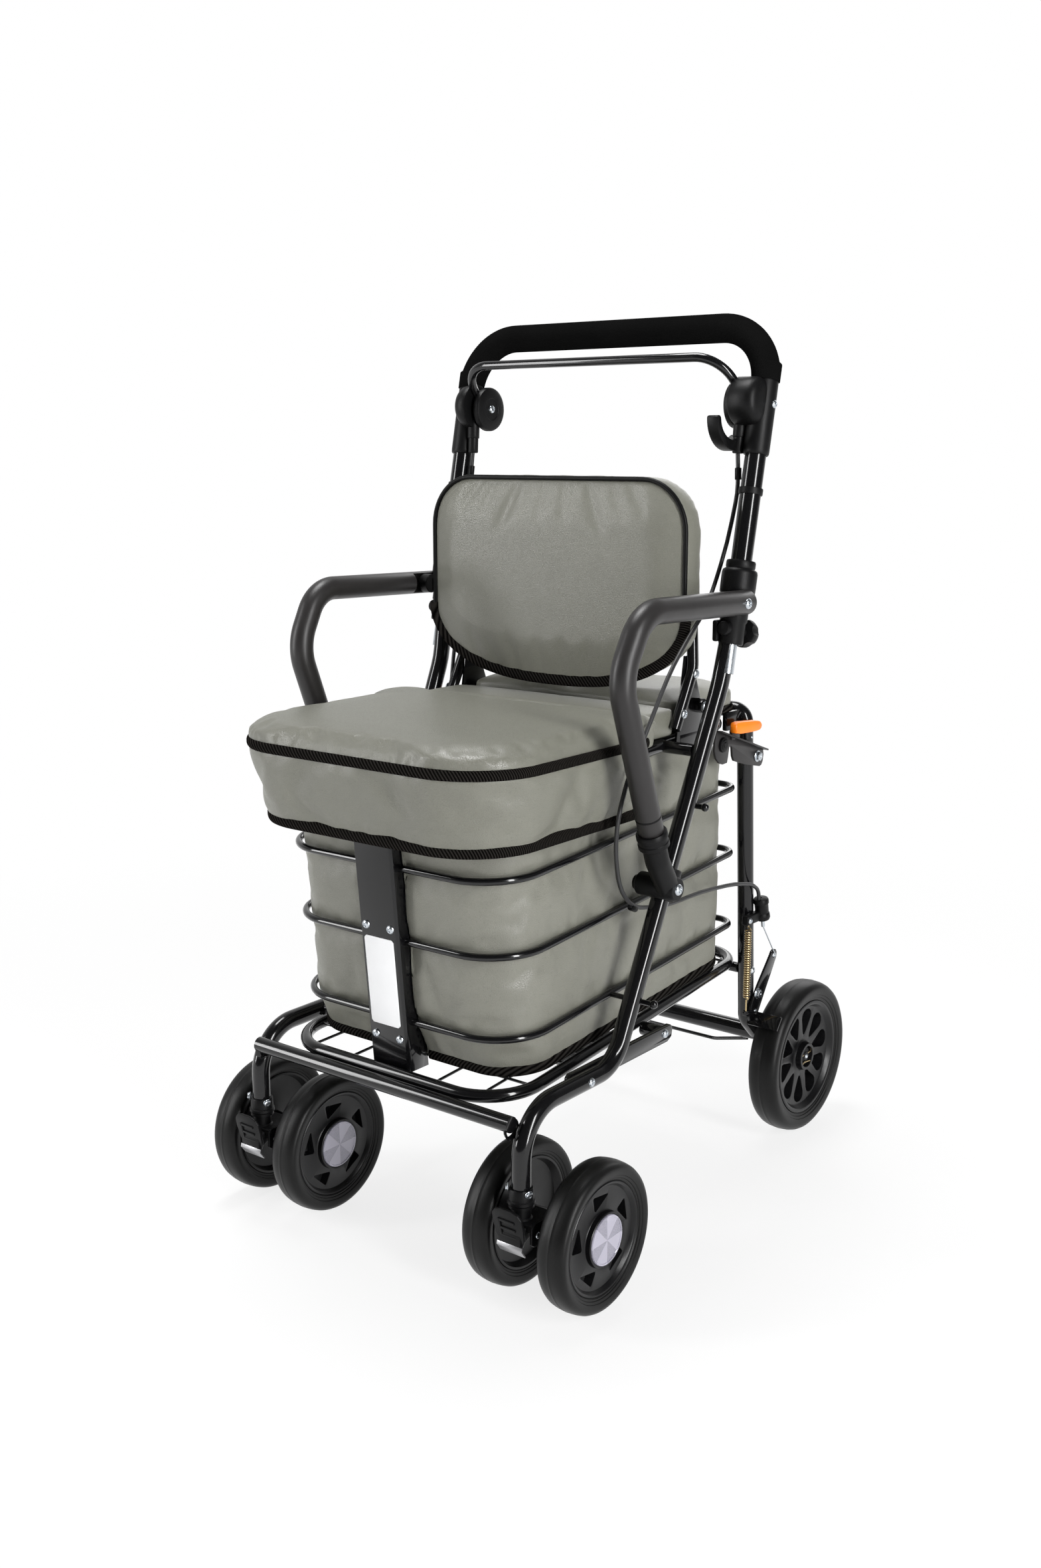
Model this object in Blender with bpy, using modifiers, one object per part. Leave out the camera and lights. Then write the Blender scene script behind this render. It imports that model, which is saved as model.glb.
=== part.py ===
"""Shopping walker: a padded seat over a wire basket, on twin front casters and two braked wheels.

Metres, +Z up. The origin is on the floor under the middle of the walker. The front faces -Y,
and the user's handle is at the back. Each sub-part is one closed solid in its own object.
"""
import math

import bmesh
import bpy
from mathutils import Matrix, Vector

# Driving sizes of the wheels
FRONT_WHEEL_RADIUS = 0.075
FRONT_TYRE_INNER_RADIUS = 0.057
FRONT_TYRE_HALF_WIDTH = 0.0165
FRONT_TWIN_OFFSET = 0.0453
REAR_WHEEL_RADIUS = 0.092
REAR_TYRE_INNER_RADIUS = 0.0696
REAR_TYRE_HALF_WIDTH = 0.0188
REAR_WHEEL_X = 0.168
REAR_AXLE = Vector((0.0, 0.258, REAR_WHEEL_RADIUS))

# A tyre and its hub turn in the same number of steps, so that their flats match
FRONT_STEPS = 16
REAR_STEPS = 20

# The casters swivel about upright stems and trail behind them
CASTER_X = 0.177
CASTER_Y = -0.3015
CASTER_TRAIL = 0.0555
STEM_FOOT_Z = 0.118
PEDAL_PIN_Z = 0.086

# Tube radii
SIDE_TUBE_RADIUS = 0.0095
HANDLE_TUBE_RADIUS = 0.011
ARMREST_RADIUS = 0.0127
SEAT_LOOP_RADIUS = 0.007
BASE_LOOP_RADIUS = 0.0065
HOOP_RADIUS = 0.003
REAR_LEG_RADIUS = 0.008
BACKREST_TUBE_RADIUS = 0.006

# The straight upper line of each side tube leans back, and the handle slides along it
UPPER_X = 0.190
UPPER_Y = 0.0165
UPPER_Z = 0.575
UPPER_SLOPE = 0.21256
SIDE_TUBE_TOP_Z = 0.6715
HANDLE_FOOT_Z = 0.673
HANDLE_TOP_Z = 0.9387

# Closed wire loops: half-widths at front and rear, front and rear y, front z and rise to the rear
BASE_LOOP = dict(front=(0.150, -0.295), rear=(0.118, 0.200), height=0.204, rise=0.018)
SEAT_LOOP = dict(front=(0.150, -0.315), rear=(0.133, 0.135), height=0.497, rise=0.020)
HOOP_HALF_WIDTH = 0.150
HOOP_REAR = (0.132, 0.160)
HOOP_RISE = 0.020
HOOP_HEIGHTS = {"upper": 0.418, "middle": 0.342, "lower": 0.257}

# The basket's front stands back from the seat and slopes rearward toward the floor
FRONT_FACE_TOP = (-0.3159, 0.489)
FRONT_SLOPE = 0.0972
CROSS_TUBE = (-0.308, 0.196)

# Pivots
FOLD_PIVOT = Vector((0.0, 0.187, 0.212))
BRAKE_BAR_PIVOT = Vector((0.0, 0.0785, 0.860))
BRAKE_ARM_PIVOT = Vector((0.145, 0.193, 0.183))
LATCH_PIVOT = Vector((0.145, 0.176, 0.472))
LID_HINGE = Vector((0.0, -0.0735, 0.546))
FLAP_HINGE = Vector((0.0, 0.002, 0.556))

# Running gap between touching or turning pieces
GAP = 0.0003

SIDES = {"left": -1.0, "right": 1.0}

# Colour, roughness and metallic value of each finish
FINISHES = {
    "gloss_black_paint": ((0.012, 0.012, 0.013), 0.22, 0.0),
    "charcoal_paint": ((0.062, 0.056, 0.056), 0.42, 0.0),
    "black_plastic": ((0.022, 0.022, 0.024), 0.45, 0.0),
    "tyre_rubber": ((0.028, 0.028, 0.030), 0.62, 0.0),
    "hub_plastic": ((0.015, 0.015, 0.016), 0.30, 0.0),
    "foam": ((0.010, 0.010, 0.010), 0.90, 0.0),
    "grey_vinyl": ((0.205, 0.208, 0.178), 0.48, 0.0),
    "brass_wire": ((0.58, 0.44, 0.22), 0.30, 1.0),
    "orange_plastic": ((1.0, 0.225, 0.006), 0.40, 0.0),
    "white_label": ((0.90, 0.90, 0.90), 0.45, 0.0),
    "cable_sleeve": ((0.030, 0.030, 0.032), 0.40, 0.0),
}


def clear_scene():
    for existing in list(bpy.data.objects):
        bpy.data.objects.remove(existing, do_unlink=True)


def make_collections():
    walker = bpy.data.collections.new("shopping_walker")
    cutters = bpy.data.collections.new("cutters")
    bpy.context.scene.collection.children.link(walker)
    bpy.context.scene.collection.children.link(cutters)
    return walker, cutters


def make_finishes():
    made = {}
    for name, (colour, roughness, metallic) in FINISHES.items():
        finish = bpy.data.materials.new(name)
        finish.use_nodes = True
        shader = finish.node_tree.nodes["Principled BSDF"]
        shader.inputs["Base Color"].default_value = (*colour, 1.0)
        shader.inputs["Roughness"].default_value = roughness
        shader.inputs["Metallic"].default_value = metallic
        made[name] = finish
    return made


clear_scene()
WALKER, CUTTERS = make_collections()
MATERIALS = make_finishes()


# Basic solids, all given in world coordinates

def new_object(name, mesh):
    solid = bpy.data.objects.new(name, mesh)
    WALKER.objects.link(solid)
    return solid


def from_bmesh(name, shape):
    bmesh.ops.recalc_face_normals(shape, faces=shape.faces)
    mesh = bpy.data.meshes.new(name)
    shape.to_mesh(mesh)
    shape.free()
    return new_object(name, mesh)


def box(name, low, high):
    shape = bmesh.new()
    low, high = Vector(low), Vector(high)
    middle = (low + high) / 2
    size = high - low
    placing = Matrix.Translation(middle) @ Matrix.Diagonal((*size, 1.0))
    bmesh.ops.create_cube(shape, size=1.0, matrix=placing)
    return from_bmesh(name, shape)


def rod(name, start, end, radius, sides=12, end_radius=None):
    """A straight cylinder, or a cone where end_radius is given."""
    shape = bmesh.new()
    start, end = Vector(start), Vector(end)
    along = end - start
    turn = along.to_track_quat("Z", "Y").to_matrix().to_4x4()
    placing = Matrix.Translation((start + end) / 2) @ turn
    bmesh.ops.create_cone(
        shape, cap_ends=True, segments=sides, radius1=radius,
        radius2=radius if end_radius is None else end_radius, depth=along.length, matrix=placing)
    return from_bmesh(name, shape)


def bore_radius(radius, sides):
    """Corner radius of a many-sided hole whose flats clear a shaft of the given radius."""
    return (radius + GAP) / math.cos(math.pi / sides)


def turned(name, profile, steps, centre, outward=1.0):
    """Revolve (radius, height) points about the X axis, with height pointing outward."""
    mesh = bpy.data.meshes.new(name)
    points = [(radius, 0.0, height) for radius, height in profile]
    edges = [(i, i + 1) for i in range(len(points) - 1)]
    if profile[0][0] > 0:
        edges.append((len(points) - 1, 0))
    mesh.from_pydata(points, edges, [])
    solid = new_object(name, mesh)
    solid.location = centre
    solid.rotation_euler = (0.0, outward * math.pi / 2, 0.0)
    screw = solid.modifiers.new("turn", "SCREW")
    screw.steps = steps
    screw.render_steps = steps
    screw.use_merge_vertices = True
    screw.merge_threshold = 0.00005
    screw.use_smooth_shade = True
    return solid


def plate(name, outline, x_inner, x_outer):
    """A flat outline in the YZ plane, given as (y, z) points, with its thickness along X."""
    curve = bpy.data.curves.new(name, "CURVE")
    curve.dimensions = "2D"
    curve.fill_mode = "BOTH"
    curve.extrude = abs(x_outer - x_inner) / 2
    spline = curve.splines.new("POLY")
    spline.points.add(len(outline) - 1)
    for point, (y, z) in zip(spline.points, outline):
        point.co = (y, z, 0.0, 1.0)
    spline.use_cyclic_u = True
    guide = bpy.data.objects.new(name, curve)
    WALKER.objects.link(guide)
    middle = (x_inner + x_outer) / 2
    guide.matrix_world = Matrix(((0, 0, 1, middle), (1, 0, 0, 0), (0, 1, 0, 0), (0, 0, 0, 1)))
    return curve_to_mesh(guide)


def curve_to_mesh(guide):
    """Swap a curve object for a mesh object with welded caps."""
    bpy.context.view_layer.update()
    depsgraph = bpy.context.evaluated_depsgraph_get()
    mesh = bpy.data.meshes.new_from_object(guide.evaluated_get(depsgraph))
    name = guide.name
    placing = guide.matrix_world.copy()
    data = guide.data
    bpy.data.objects.remove(guide, do_unlink=True)
    bpy.data.curves.remove(data)
    mesh.name = name
    shape = bmesh.new()
    shape.from_mesh(mesh)
    bmesh.ops.remove_doubles(shape, verts=shape.verts, dist=0.00001)
    shape.to_mesh(mesh)
    shape.free()
    solid = new_object(name, mesh)
    solid.matrix_world = placing
    return solid


def bent_route(corners, radii, steps=4, closed=False):
    """Corner points joined by straight runs, each corner rounded to its own radius."""
    corners = [Vector(corner) for corner in corners]
    count = len(corners)
    route = []
    for index, corner in enumerate(corners):
        radius = radii[index]
        at_end = not closed and index in (0, count - 1)
        if at_end or radius == 0:
            route.append(corner)
            continue
        back = (corners[index - 1] - corner).normalized()
        ahead = (corners[(index + 1) % count] - corner).normalized()
        half_angle = back.angle(ahead) / 2
        reach = radius / math.tan(half_angle)
        middle = corner + (back + ahead).normalized() * radius / math.sin(half_angle)
        first = corner + back * reach - middle
        last = corner + ahead * reach - middle
        sweep = first.angle(last)
        for step in range(steps + 1):
            part = step / steps
            blend = (first * math.sin((1 - part) * sweep) + last * math.sin(part * sweep))
            route.append(middle + blend / math.sin(sweep))
    return route


def tube(name, route, radius, closed=False, resolution=2):
    """A round bar along a route of points, with flat filled ends."""
    curve = bpy.data.curves.new(name, "CURVE")
    curve.dimensions = "3D"
    curve.bevel_depth = radius
    curve.bevel_resolution = resolution
    curve.use_fill_caps = True
    curve.twist_mode = "MINIMUM"
    spline = curve.splines.new("POLY")
    spline.points.add(len(route) - 1)
    for point, place in zip(spline.points, route):
        point.co = (*place, 1.0)
    spline.use_cyclic_u = closed
    guide = bpy.data.objects.new(name, curve)
    WALKER.objects.link(guide)
    return curve_to_mesh(guide)


def combine(solid, tool, operation):
    """Join a tool to a solid, or cut it away. The tool stays as a guide in the cutters group."""
    modifier = solid.modifiers.new(tool.name, "BOOLEAN")
    modifier.operation = operation
    modifier.solver = "EXACT"
    modifier.object = tool
    WALKER.objects.unlink(tool)
    CUTTERS.objects.link(tool)
    tool.hide_render = True
    tool.display_type = "WIRE"


def join(solid, *tools):
    for tool in tools:
        combine(solid, tool, "UNION")
    return solid


def cut(solid, *tools):
    for tool in tools:
        combine(solid, tool, "DIFFERENCE")
    return solid


def finish(solid, finish_name, joint_point=None):
    """Give a sub-part its material and shading, and put its origin on its joint."""
    solid.data.materials.clear()
    solid.data.materials.append(MATERIALS[finish_name])
    solid.data.shade_smooth()
    solid.data.set_sharp_from_angle(angle=math.radians(40))
    if joint_point is not None:
        bpy.context.view_layer.update()
        place = solid.matrix_world.inverted() @ Vector(joint_point)
        solid.data.transform(Matrix.Translation(-place))
        solid.matrix_world = solid.matrix_world @ Matrix.Translation(place)
    return solid


def loft(name, rings):
    """Skin between rings of equal point counts, closed by a flat face at each end."""
    shape = bmesh.new()
    made = [[shape.verts.new(point) for point in ring] for ring in rings]
    count = len(made[0])
    for lower, upper in zip(made, made[1:]):
        for i in range(count):
            j = (i + 1) % count
            shape.faces.new((lower[i], lower[j], upper[j], upper[i]))
    shape.faces.new(made[0])
    shape.faces.new(list(reversed(made[-1])))
    return from_bmesh(name, shape)


def smooth_route(points, count):
    """Points at even steps along a smooth curve through the given route points."""
    points = [Vector(point) for point in points]
    padded = [2 * points[0] - points[1], *points, 2 * points[-1] - points[-2]]
    fine = []
    pieces = 24
    for a, b, c, d in zip(padded, padded[1:], padded[2:], padded[3:]):
        for piece in range(pieces):
            t = piece / pieces
            fine.append(0.5 * (2 * b + (c - a) * t + (2 * a - 5 * b + 4 * c - d) * t * t
                               + (3 * b - a - 3 * c + d) * t ** 3))
    fine.append(points[-1])
    lengths = [0.0]
    for before, after in zip(fine, fine[1:]):
        lengths.append(lengths[-1] + (after - before).length)
    route = []
    place = 0
    for step in range(count):
        target = lengths[-1] * step / (count - 1)
        while place < len(fine) - 2 and lengths[place + 1] < target:
            place += 1
        span = lengths[place + 1] - lengths[place]
        route.append(fine[place].lerp(fine[place + 1], (target - lengths[place]) / span))
    return route


# Lines that several sub-parts share

def upper_axis(side, z):
    """Point on the straight upper line of a side tube at height z."""
    return Vector((side * UPPER_X, UPPER_Y + (z - UPPER_Z) * UPPER_SLOPE, z))


UPPER_DIRECTION = Vector((0.0, UPPER_SLOPE, 1.0)).normalized()
UPPER_BACK = Vector((0.0, UPPER_DIRECTION.z, -UPPER_DIRECTION.y))

KNEE = Vector((0.178, -0.152, 0.207))
SHOULDER = Vector((UPPER_X, UPPER_Y, UPPER_Z))


def lower_axis(side, z):
    """Point on the slanting lower run of a side tube at height z."""
    part = (z - KNEE.z) / (SHOULDER.z - KNEE.z)
    point = KNEE.lerp(SHOULDER, part)
    return Vector((side * point.x, point.y, point.z))


def side_tube_route(side):
    corners = [
        (side * CASTER_X, CASTER_Y, STEM_FOOT_Z),
        (side * CASTER_X, CASTER_Y, KNEE.z),
        (side * KNEE.x, KNEE.y, KNEE.z),
        (side * SHOULDER.x, SHOULDER.y, SHOULDER.z),
        upper_axis(side, SIDE_TUBE_TOP_Z),
    ]
    return bent_route(corners, [0, 0.030, 0.035, 0.100, 0], steps=3)


def handle_route(foot_z):
    corners = [
        upper_axis(-1, foot_z), upper_axis(-1, HANDLE_TOP_Z),
        upper_axis(1, HANDLE_TOP_Z), upper_axis(1, foot_z),
    ]
    return bent_route(corners, [0, 0.058, 0.058, 0], steps=4)


def loop_route(front, rear, height, rise, front_radius, rear_radius):
    """A closed, slightly tapered rectangle with round corners that rises toward the rear."""
    (front_x, front_y), (rear_x, rear_y) = front, rear
    corners = [
        (-front_x, front_y, height), (front_x, front_y, height),
        (rear_x, rear_y, height + rise), (-rear_x, rear_y, height + rise),
    ]
    radii = [front_radius, front_radius, rear_radius, rear_radius]
    return bent_route(corners, radii, steps=3, closed=True)


def loop_side(front, rear, height, rise, y):
    """Half-width and height of such a loop's long side at y."""
    part = (y - front[1]) / (rear[1] - front[1])
    return front[0] + (rear[0] - front[0]) * part, height + rise * part


def front_face(z):
    """y of the front channel's face at height z."""
    return FRONT_FACE_TOP[0] + (FRONT_FACE_TOP[1] - z) * FRONT_SLOPE


def hoop_front(z):
    """Half-width and front y of a basket hoop at height z."""
    return HOOP_HALF_WIDTH, front_face(z) + 0.0125


def sloping_box(name, half_width, offsets, heights):
    """Box whose front and rear stay at set distances behind the sloping front face."""
    shape = bmesh.new()
    bmesh.ops.create_cube(shape, size=2.0)
    for vert in shape.verts:
        z = heights[1] if vert.co.z > 0 else heights[0]
        offset = offsets[1] if vert.co.y > 0 else offsets[0]
        vert.co = (vert.co.x * half_width, front_face(z) + offset, z)
    return from_bmesh(name, shape)


def leg_axis(side, z):
    """Point on a rear leg's straight line at height z."""
    return Vector((side * 0.133, 0.168 + (0.531 - z) * 0.0615, z))


# Side tubes, the front tube between them and the loop that carries the basket

def side_tube(label, side):
    solid = tube("side_tube_" + label, side_tube_route(side), SIDE_TUBE_RADIUS)
    bar = box("side_bar_" + label, (min(side * 0.1625, side * 0.1690), -0.215, 0.1965),
              (max(side * 0.1625, side * 0.1690), 0.010, 0.2145))
    boss = rod("side_boss_" + label, (side * 0.1386, 0.0, 0.2055), (side * 0.1650, 0.0, 0.2055), 0.009)
    join(solid, bar, boss)
    bore = rod("inner_rod_bore_" + label, upper_axis(side, 0.583), upper_axis(side, 0.680),
               bore_radius(0.0072, 12))
    cut(solid, bore)
    return finish(solid, "gloss_black_paint")


def front_cross_tube():
    solid = rod("front_cross_tube", (-0.172, *CROSS_TUBE), (0.172, *CROSS_TUBE), 0.008, sides=10)
    for label, side in SIDES.items():
        cut(solid, tube("stem_clearance_" + label, side_tube_route(side)[:6], SIDE_TUBE_RADIUS + GAP))
    return finish(solid, "gloss_black_paint")


def base_loop():
    solid = tube("base_loop", loop_route(**BASE_LOOP, front_radius=0.057, rear_radius=0.045),
                 BASE_LOOP_RADIUS, closed=True)
    for index, y in enumerate((-0.130, 0.070)):
        half_width, z = loop_side(**BASE_LOOP, y=y)
        join(solid, box("cross_bar_%d" % index, (-half_width, y - 0.009, z - 0.0078),
                        (half_width, y + 0.009, z - 0.0048)))
    for label, side in SIDES.items():
        pivot = Vector((0.0, FOLD_PIVOT.y, FOLD_PIVOT.z))
        stub = rod("fold_stub_" + label, pivot + Vector((side * 0.098, 0, 0)),
                   pivot + Vector((side * 0.1246, 0, 0)), 0.006, sides=10)
        join(solid, stub)
    return finish(solid, "gloss_black_paint")


def floor_grid():
    """Welded wires inside the base loop: a tapered lattice whose corners are drawn in."""
    columns, rows = 4, 6
    reach = BASE_LOOP_RADIUS + 0.0018
    front_y = BASE_LOOP["front"][1] + reach
    rear_y = BASE_LOOP["rear"][1] - reach
    shape = bmesh.new()
    bmesh.ops.create_grid(shape, x_segments=columns, y_segments=rows, size=1.0)
    for vert in shape.verts:
        across, along = vert.co.x, (vert.co.y + 1) / 2
        y = front_y + (rear_y - front_y) * along
        half_width, z = loop_side(**BASE_LOOP, y=y)
        at_corner = abs(across) > 0.99 and (along < 0.01 or along > 0.99)
        if at_corner:
            y += 0.024 if along < 0.5 else -0.020
            half_width -= 0.024 if along < 0.5 else 0.020
        vert.co = (across * (half_width - reach), y, z - 0.0012)
    solid = from_bmesh("floor_grid", shape)
    wires = solid.modifiers.new("wires", "WIREFRAME")
    wires.thickness = 0.0026
    wires.offset = 0.0
    wires.use_boundary = True
    wires.use_replace = True
    wires.use_even_offset = True
    return finish(solid, "gloss_black_paint")


def hoop(label, height):
    solid = tube("basket_hoop_" + label,
                 loop_route(hoop_front(height), HOOP_REAR, height, HOOP_RISE, 0.057, 0.022),
                 HOOP_RADIUS, closed=True, resolution=1)
    if label == "middle":
        return finish(solid, "gloss_black_paint")
    for name, side in SIDES.items():
        rise = 0.010
        y = lower_axis(side, height + rise).y + SIDE_TUBE_RADIUS / math.cos(math.radians(24.6)) + 0.0042
        half_width, z = loop_side(hoop_front(height), HOOP_REAR, height, HOOP_RISE, y)
        peg = rod("peg_%s_%s" % (label, name), (side * half_width, y, z), (side * 0.1985, y, z), 0.0028,
                  sides=6)
        tip = rod("peg_tip_%s_%s" % (label, name), (side * 0.1945, y, z), (side * 0.2020, y, z), 0.0042,
                  sides=6)
        join(solid, peg, tip)
    return finish(solid, "gloss_black_paint")


def front_channel():
    """A sloping steel channel that faces the front and holds the hoops in its side flanges."""
    shape = bmesh.new()
    columns = []
    for z in (0.2050, 0.4892):
        face, rear = front_face(z) + 0.001, front_face(z) + 0.0295
        corners = [(-0.024, rear), (-0.024, face), (0.024, face), (0.024, rear)]
        columns.append([shape.verts.new((x, y, z)) for x, y in corners])
    for i in range(3):
        shape.faces.new((columns[0][i], columns[0][i + 1], columns[1][i + 1], columns[1][i]))
    solid = from_bmesh("front_channel", shape)
    sheet = solid.modifiers.new("sheet", "SOLIDIFY")
    sheet.thickness = 0.002
    sheet.offset = 0.0
    sheet.use_even_offset = True
    for label, height in HOOP_HEIGHTS.items():
        y = hoop_front(height)[1]
        cut(solid, rod("hoop_hole_" + label, (-0.03, y, height), (0.03, y, height),
                       bore_radius(HOOP_RADIUS, 6), sides=6))
    return finish(solid, "charcoal_paint")


def label_plate():
    solid = sloping_box("label_plate", 0.019, (-0.0011, -0.00035), (0.252, 0.345))
    return finish(solid, "white_label")


def seat_loop():
    solid = tube("seat_loop", loop_route(**SEAT_LOOP, front_radius=0.050, rear_radius=0.045),
                 SEAT_LOOP_RADIUS, closed=True)
    for label, side in SIDES.items():
        tube_point = lower_axis(side, 0.510)
        spacer = rod("seat_spacer_" + label, (side * 0.139, tube_point.y, 0.510),
                     (side * (abs(tube_point.x) - SIDE_TUBE_RADIUS - 0.0006), tube_point.y, 0.510), 0.0065,
                     sides=10)
        pin = rod("latch_pin_" + label, (side * 0.130, 0.0935, 0.505), (side * 0.1431, 0.0935, 0.505),
                  0.006, sides=10)
        join(solid, spacer, pin)
    return finish(solid, "gloss_black_paint")


# Handle height collars, armrests and their brackets

def collar(label, side):
    """Clamp sleeve at the top of a side tube, with the lug that carries the armrest."""
    solid = rod("height_collar_" + label, upper_axis(side, 0.618), upper_axis(side, 0.6479), 0.0128)
    neck = rod("collar_neck_" + label, upper_axis(side, 0.640), upper_axis(side, 0.6700), 0.0142)
    cap = rod("collar_cap_" + label, upper_axis(side, 0.6688), upper_axis(side, 0.6927), 0.0183, sides=14)
    lip = rod("collar_lip_" + label, upper_axis(side, 0.6915), upper_axis(side, 0.7015), 0.0145)
    lug = rod("armrest_lug_" + label, (side * 0.194, 0.0065, 0.662), (side * 0.2062, 0.0065, 0.662), 0.0105,
              sides=10)
    low_x, high_x = sorted((side * 0.194, side * 0.2040))
    web = box("lug_web_" + label, (low_x, 0.0065, 0.6535), (high_x, 0.0290, 0.6688))
    nut_centre = upper_axis(side, 0.632)
    nut = rod("collar_nut_" + label, nut_centre - UPPER_BACK * 0.010, nut_centre - UPPER_BACK * 0.0165,
              0.0060, sides=8)
    pad = rod("knob_seat_" + label, nut_centre + UPPER_BACK * 0.010, nut_centre + UPPER_BACK * 0.0150,
              0.0065, sides=8)
    join(solid, neck, cap, lip, lug, web, nut, pad)
    lower_bore = rod("lower_bore_" + label, upper_axis(side, 0.610), upper_axis(side, 0.674),
                     bore_radius(SIDE_TUBE_RADIUS, 12))
    upper_bore = rod("upper_bore_" + label, upper_axis(side, 0.6722), upper_axis(side, 0.710),
                     bore_radius(HANDLE_TUBE_RADIUS, 12))
    cut(solid, lower_bore, upper_bore)
    return finish(solid, "black_plastic")


def height_knob(label, side):
    foot = upper_axis(side, 0.632)
    start = foot + UPPER_BACK * 0.0153
    solid = rod("height_knob_" + label, start, start + UPPER_BACK * 0.0050, 0.0050, sides=10)
    grip = rod("knob_grip_" + label, start + UPPER_BACK * 0.0040, start + UPPER_BACK * 0.0160, 0.0120,
               sides=12, end_radius=0.0105)
    join(solid, grip)
    return finish(solid, "black_plastic", start)


def armrest_route(side):
    corners = [
        (side * 0.2125, 0.0180, 0.6620), (side * 0.2125, -0.1640, 0.6660),
        (side * 0.2100, -0.1960, 0.6060), (side * 0.2090, -0.1330, 0.4400),
    ]
    return bent_route(corners, [0, 0.042, 0.052, 0], steps=4)


def armrest(label, side):
    solid = tube("armrest_" + label, armrest_route(side), ARMREST_RADIUS)
    low_x, high_x = sorted((side * 0.1950, side * 0.2065))
    cut(solid, box("armrest_flat_" + label, (low_x, -0.012, 0.640), (high_x, 0.040, 0.684)))
    return finish(solid, "charcoal_paint")


def armrest_bracket(label, side):
    """Plastic elbow under the armrest, pinned to a clamp on the side tube."""
    route = armrest_route(side)
    foot = route[-1]
    along = (route[-2] - foot).normalized()
    pin = Vector((side * 0.2050, -0.0990, 0.3860))
    elbow = bent_route([foot - along * 0.0015, foot - along * 0.022, pin], [0, 0.02, 0], steps=3)
    solid = tube("armrest_bracket_" + label, elbow, 0.0122)
    cup = rod("elbow_cup_" + label, foot - along * 0.004, foot + along * 0.012, 0.0155)
    boss = rod("bracket_boss_" + label, (side * 0.1720, pin.y, pin.z), (side * 0.2170, pin.y, pin.z), 0.0120)
    nut = rod("bracket_nut_" + label, (side * 0.1665, pin.y, pin.z), (side * 0.1725, pin.y, pin.z), 0.0080,
              sides=8)
    low = lower_axis(side, 0.366)
    high = lower_axis(side, 0.396)
    clamp = rod("bracket_clamp_" + label, low, high, 0.0142)
    web_x = sorted((side * 0.1760, side * 0.2000))
    web = box("bracket_web_" + label, (web_x[0], pin.y - 0.004, 0.3760), (web_x[1], low.y, 0.3940))
    join(solid, cup, boss, nut, clamp, web)
    bore = rod("clamp_bore_" + label, lower_axis(side, 0.34), lower_axis(side, 0.43),
               bore_radius(SIDE_TUBE_RADIUS, 12))
    socket = tube("elbow_socket_" + label, [foot - along * 0.0003, foot, *reversed(route[-3:-1])],
                  bore_radius(ARMREST_RADIUS, 8))
    cut(solid, bore, socket)
    return finish(solid, "black_plastic")


# Backrest, seat pads and the bag

def cushion_outline(inset):
    """Backrest edge seen from the front: flat top, round upper corners and a deep lower curve."""
    half_width = 0.170 - inset
    top = 0.788 - inset
    radius = max(0.056 - inset, 0.012)
    bottom = 0.565 + inset
    side_foot = 0.640
    points = []
    for step in range(5):
        angle = math.radians(90 - 22.5 * step)
        points.append((half_width - radius + radius * math.cos(angle),
                       top - radius + radius * math.sin(angle)))
    points.append((half_width, 0.690))
    for step in range(7):
        angle = math.radians(15 * step)
        points.append((half_width * math.cos(angle) ** 0.62,
                       side_foot - (side_foot - bottom) * math.sin(angle)))
    left = [(-x, z) for x, z in reversed(points) if x > 0.001]
    return points + left


def cushion_ring(inset, y):
    return [(x, y, z) for x, z in cushion_outline(inset)]


def backrest_cushion():
    """Crowned front, a drawn-in side wall and a flat back."""
    rings = [
        cushion_ring(0.030, 0.0130), cushion_ring(0.004, 0.0120), cushion_ring(0.0, 0.0085),
        cushion_ring(0.0, -0.0150), cushion_ring(0.004, -0.0205), cushion_ring(0.020, -0.0250),
        cushion_ring(0.060, -0.0285),
    ]
    return finish(loft("backrest_cushion", rings), "grey_vinyl")


def backrest_frame():
    """Bent tube behind the cushion with a gusset and a foot at each side."""
    corners = []
    for side in (-1, 1):
        leg = [
            (side * 0.160, -0.0130, 0.5290), (side * 0.160, 0.0020, 0.5560),
            (side * 0.160, 0.0200, 0.5900), (side * 0.150, 0.0200, 0.7300),
        ]
        corners.extend(leg if side < 0 else reversed(leg))
    route = bent_route(corners, [0, 0.030, 0.030, 0.035, 0.035, 0.030, 0.030, 0], steps=3)
    solid = tube("backrest_frame", route, BACKREST_TUBE_RADIUS, resolution=1)
    gusset = [(-0.004, 0.5050), (0.052, 0.5050), (0.052, 0.5400), (0.026, 0.6030), (0.012, 0.6030)]
    for label, side in SIDES.items():
        join(solid, plate("gusset_" + label, gusset, side * 0.1530, side * 0.1560))
        join(solid, rod("gusset_boss_" + label, (side * 0.1540, 0.0380, 0.5430),
                        (side * 0.1650, 0.0380, 0.5430), 0.0070, sides=6))
        low_x, high_x = sorted((side * 0.1452, side * 0.1540))
        join(solid, box("gusset_foot_" + label, (low_x, 0.0060, 0.5065), (high_x, 0.0450, 0.5200)))
    return finish(solid, "gloss_black_paint")


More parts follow.
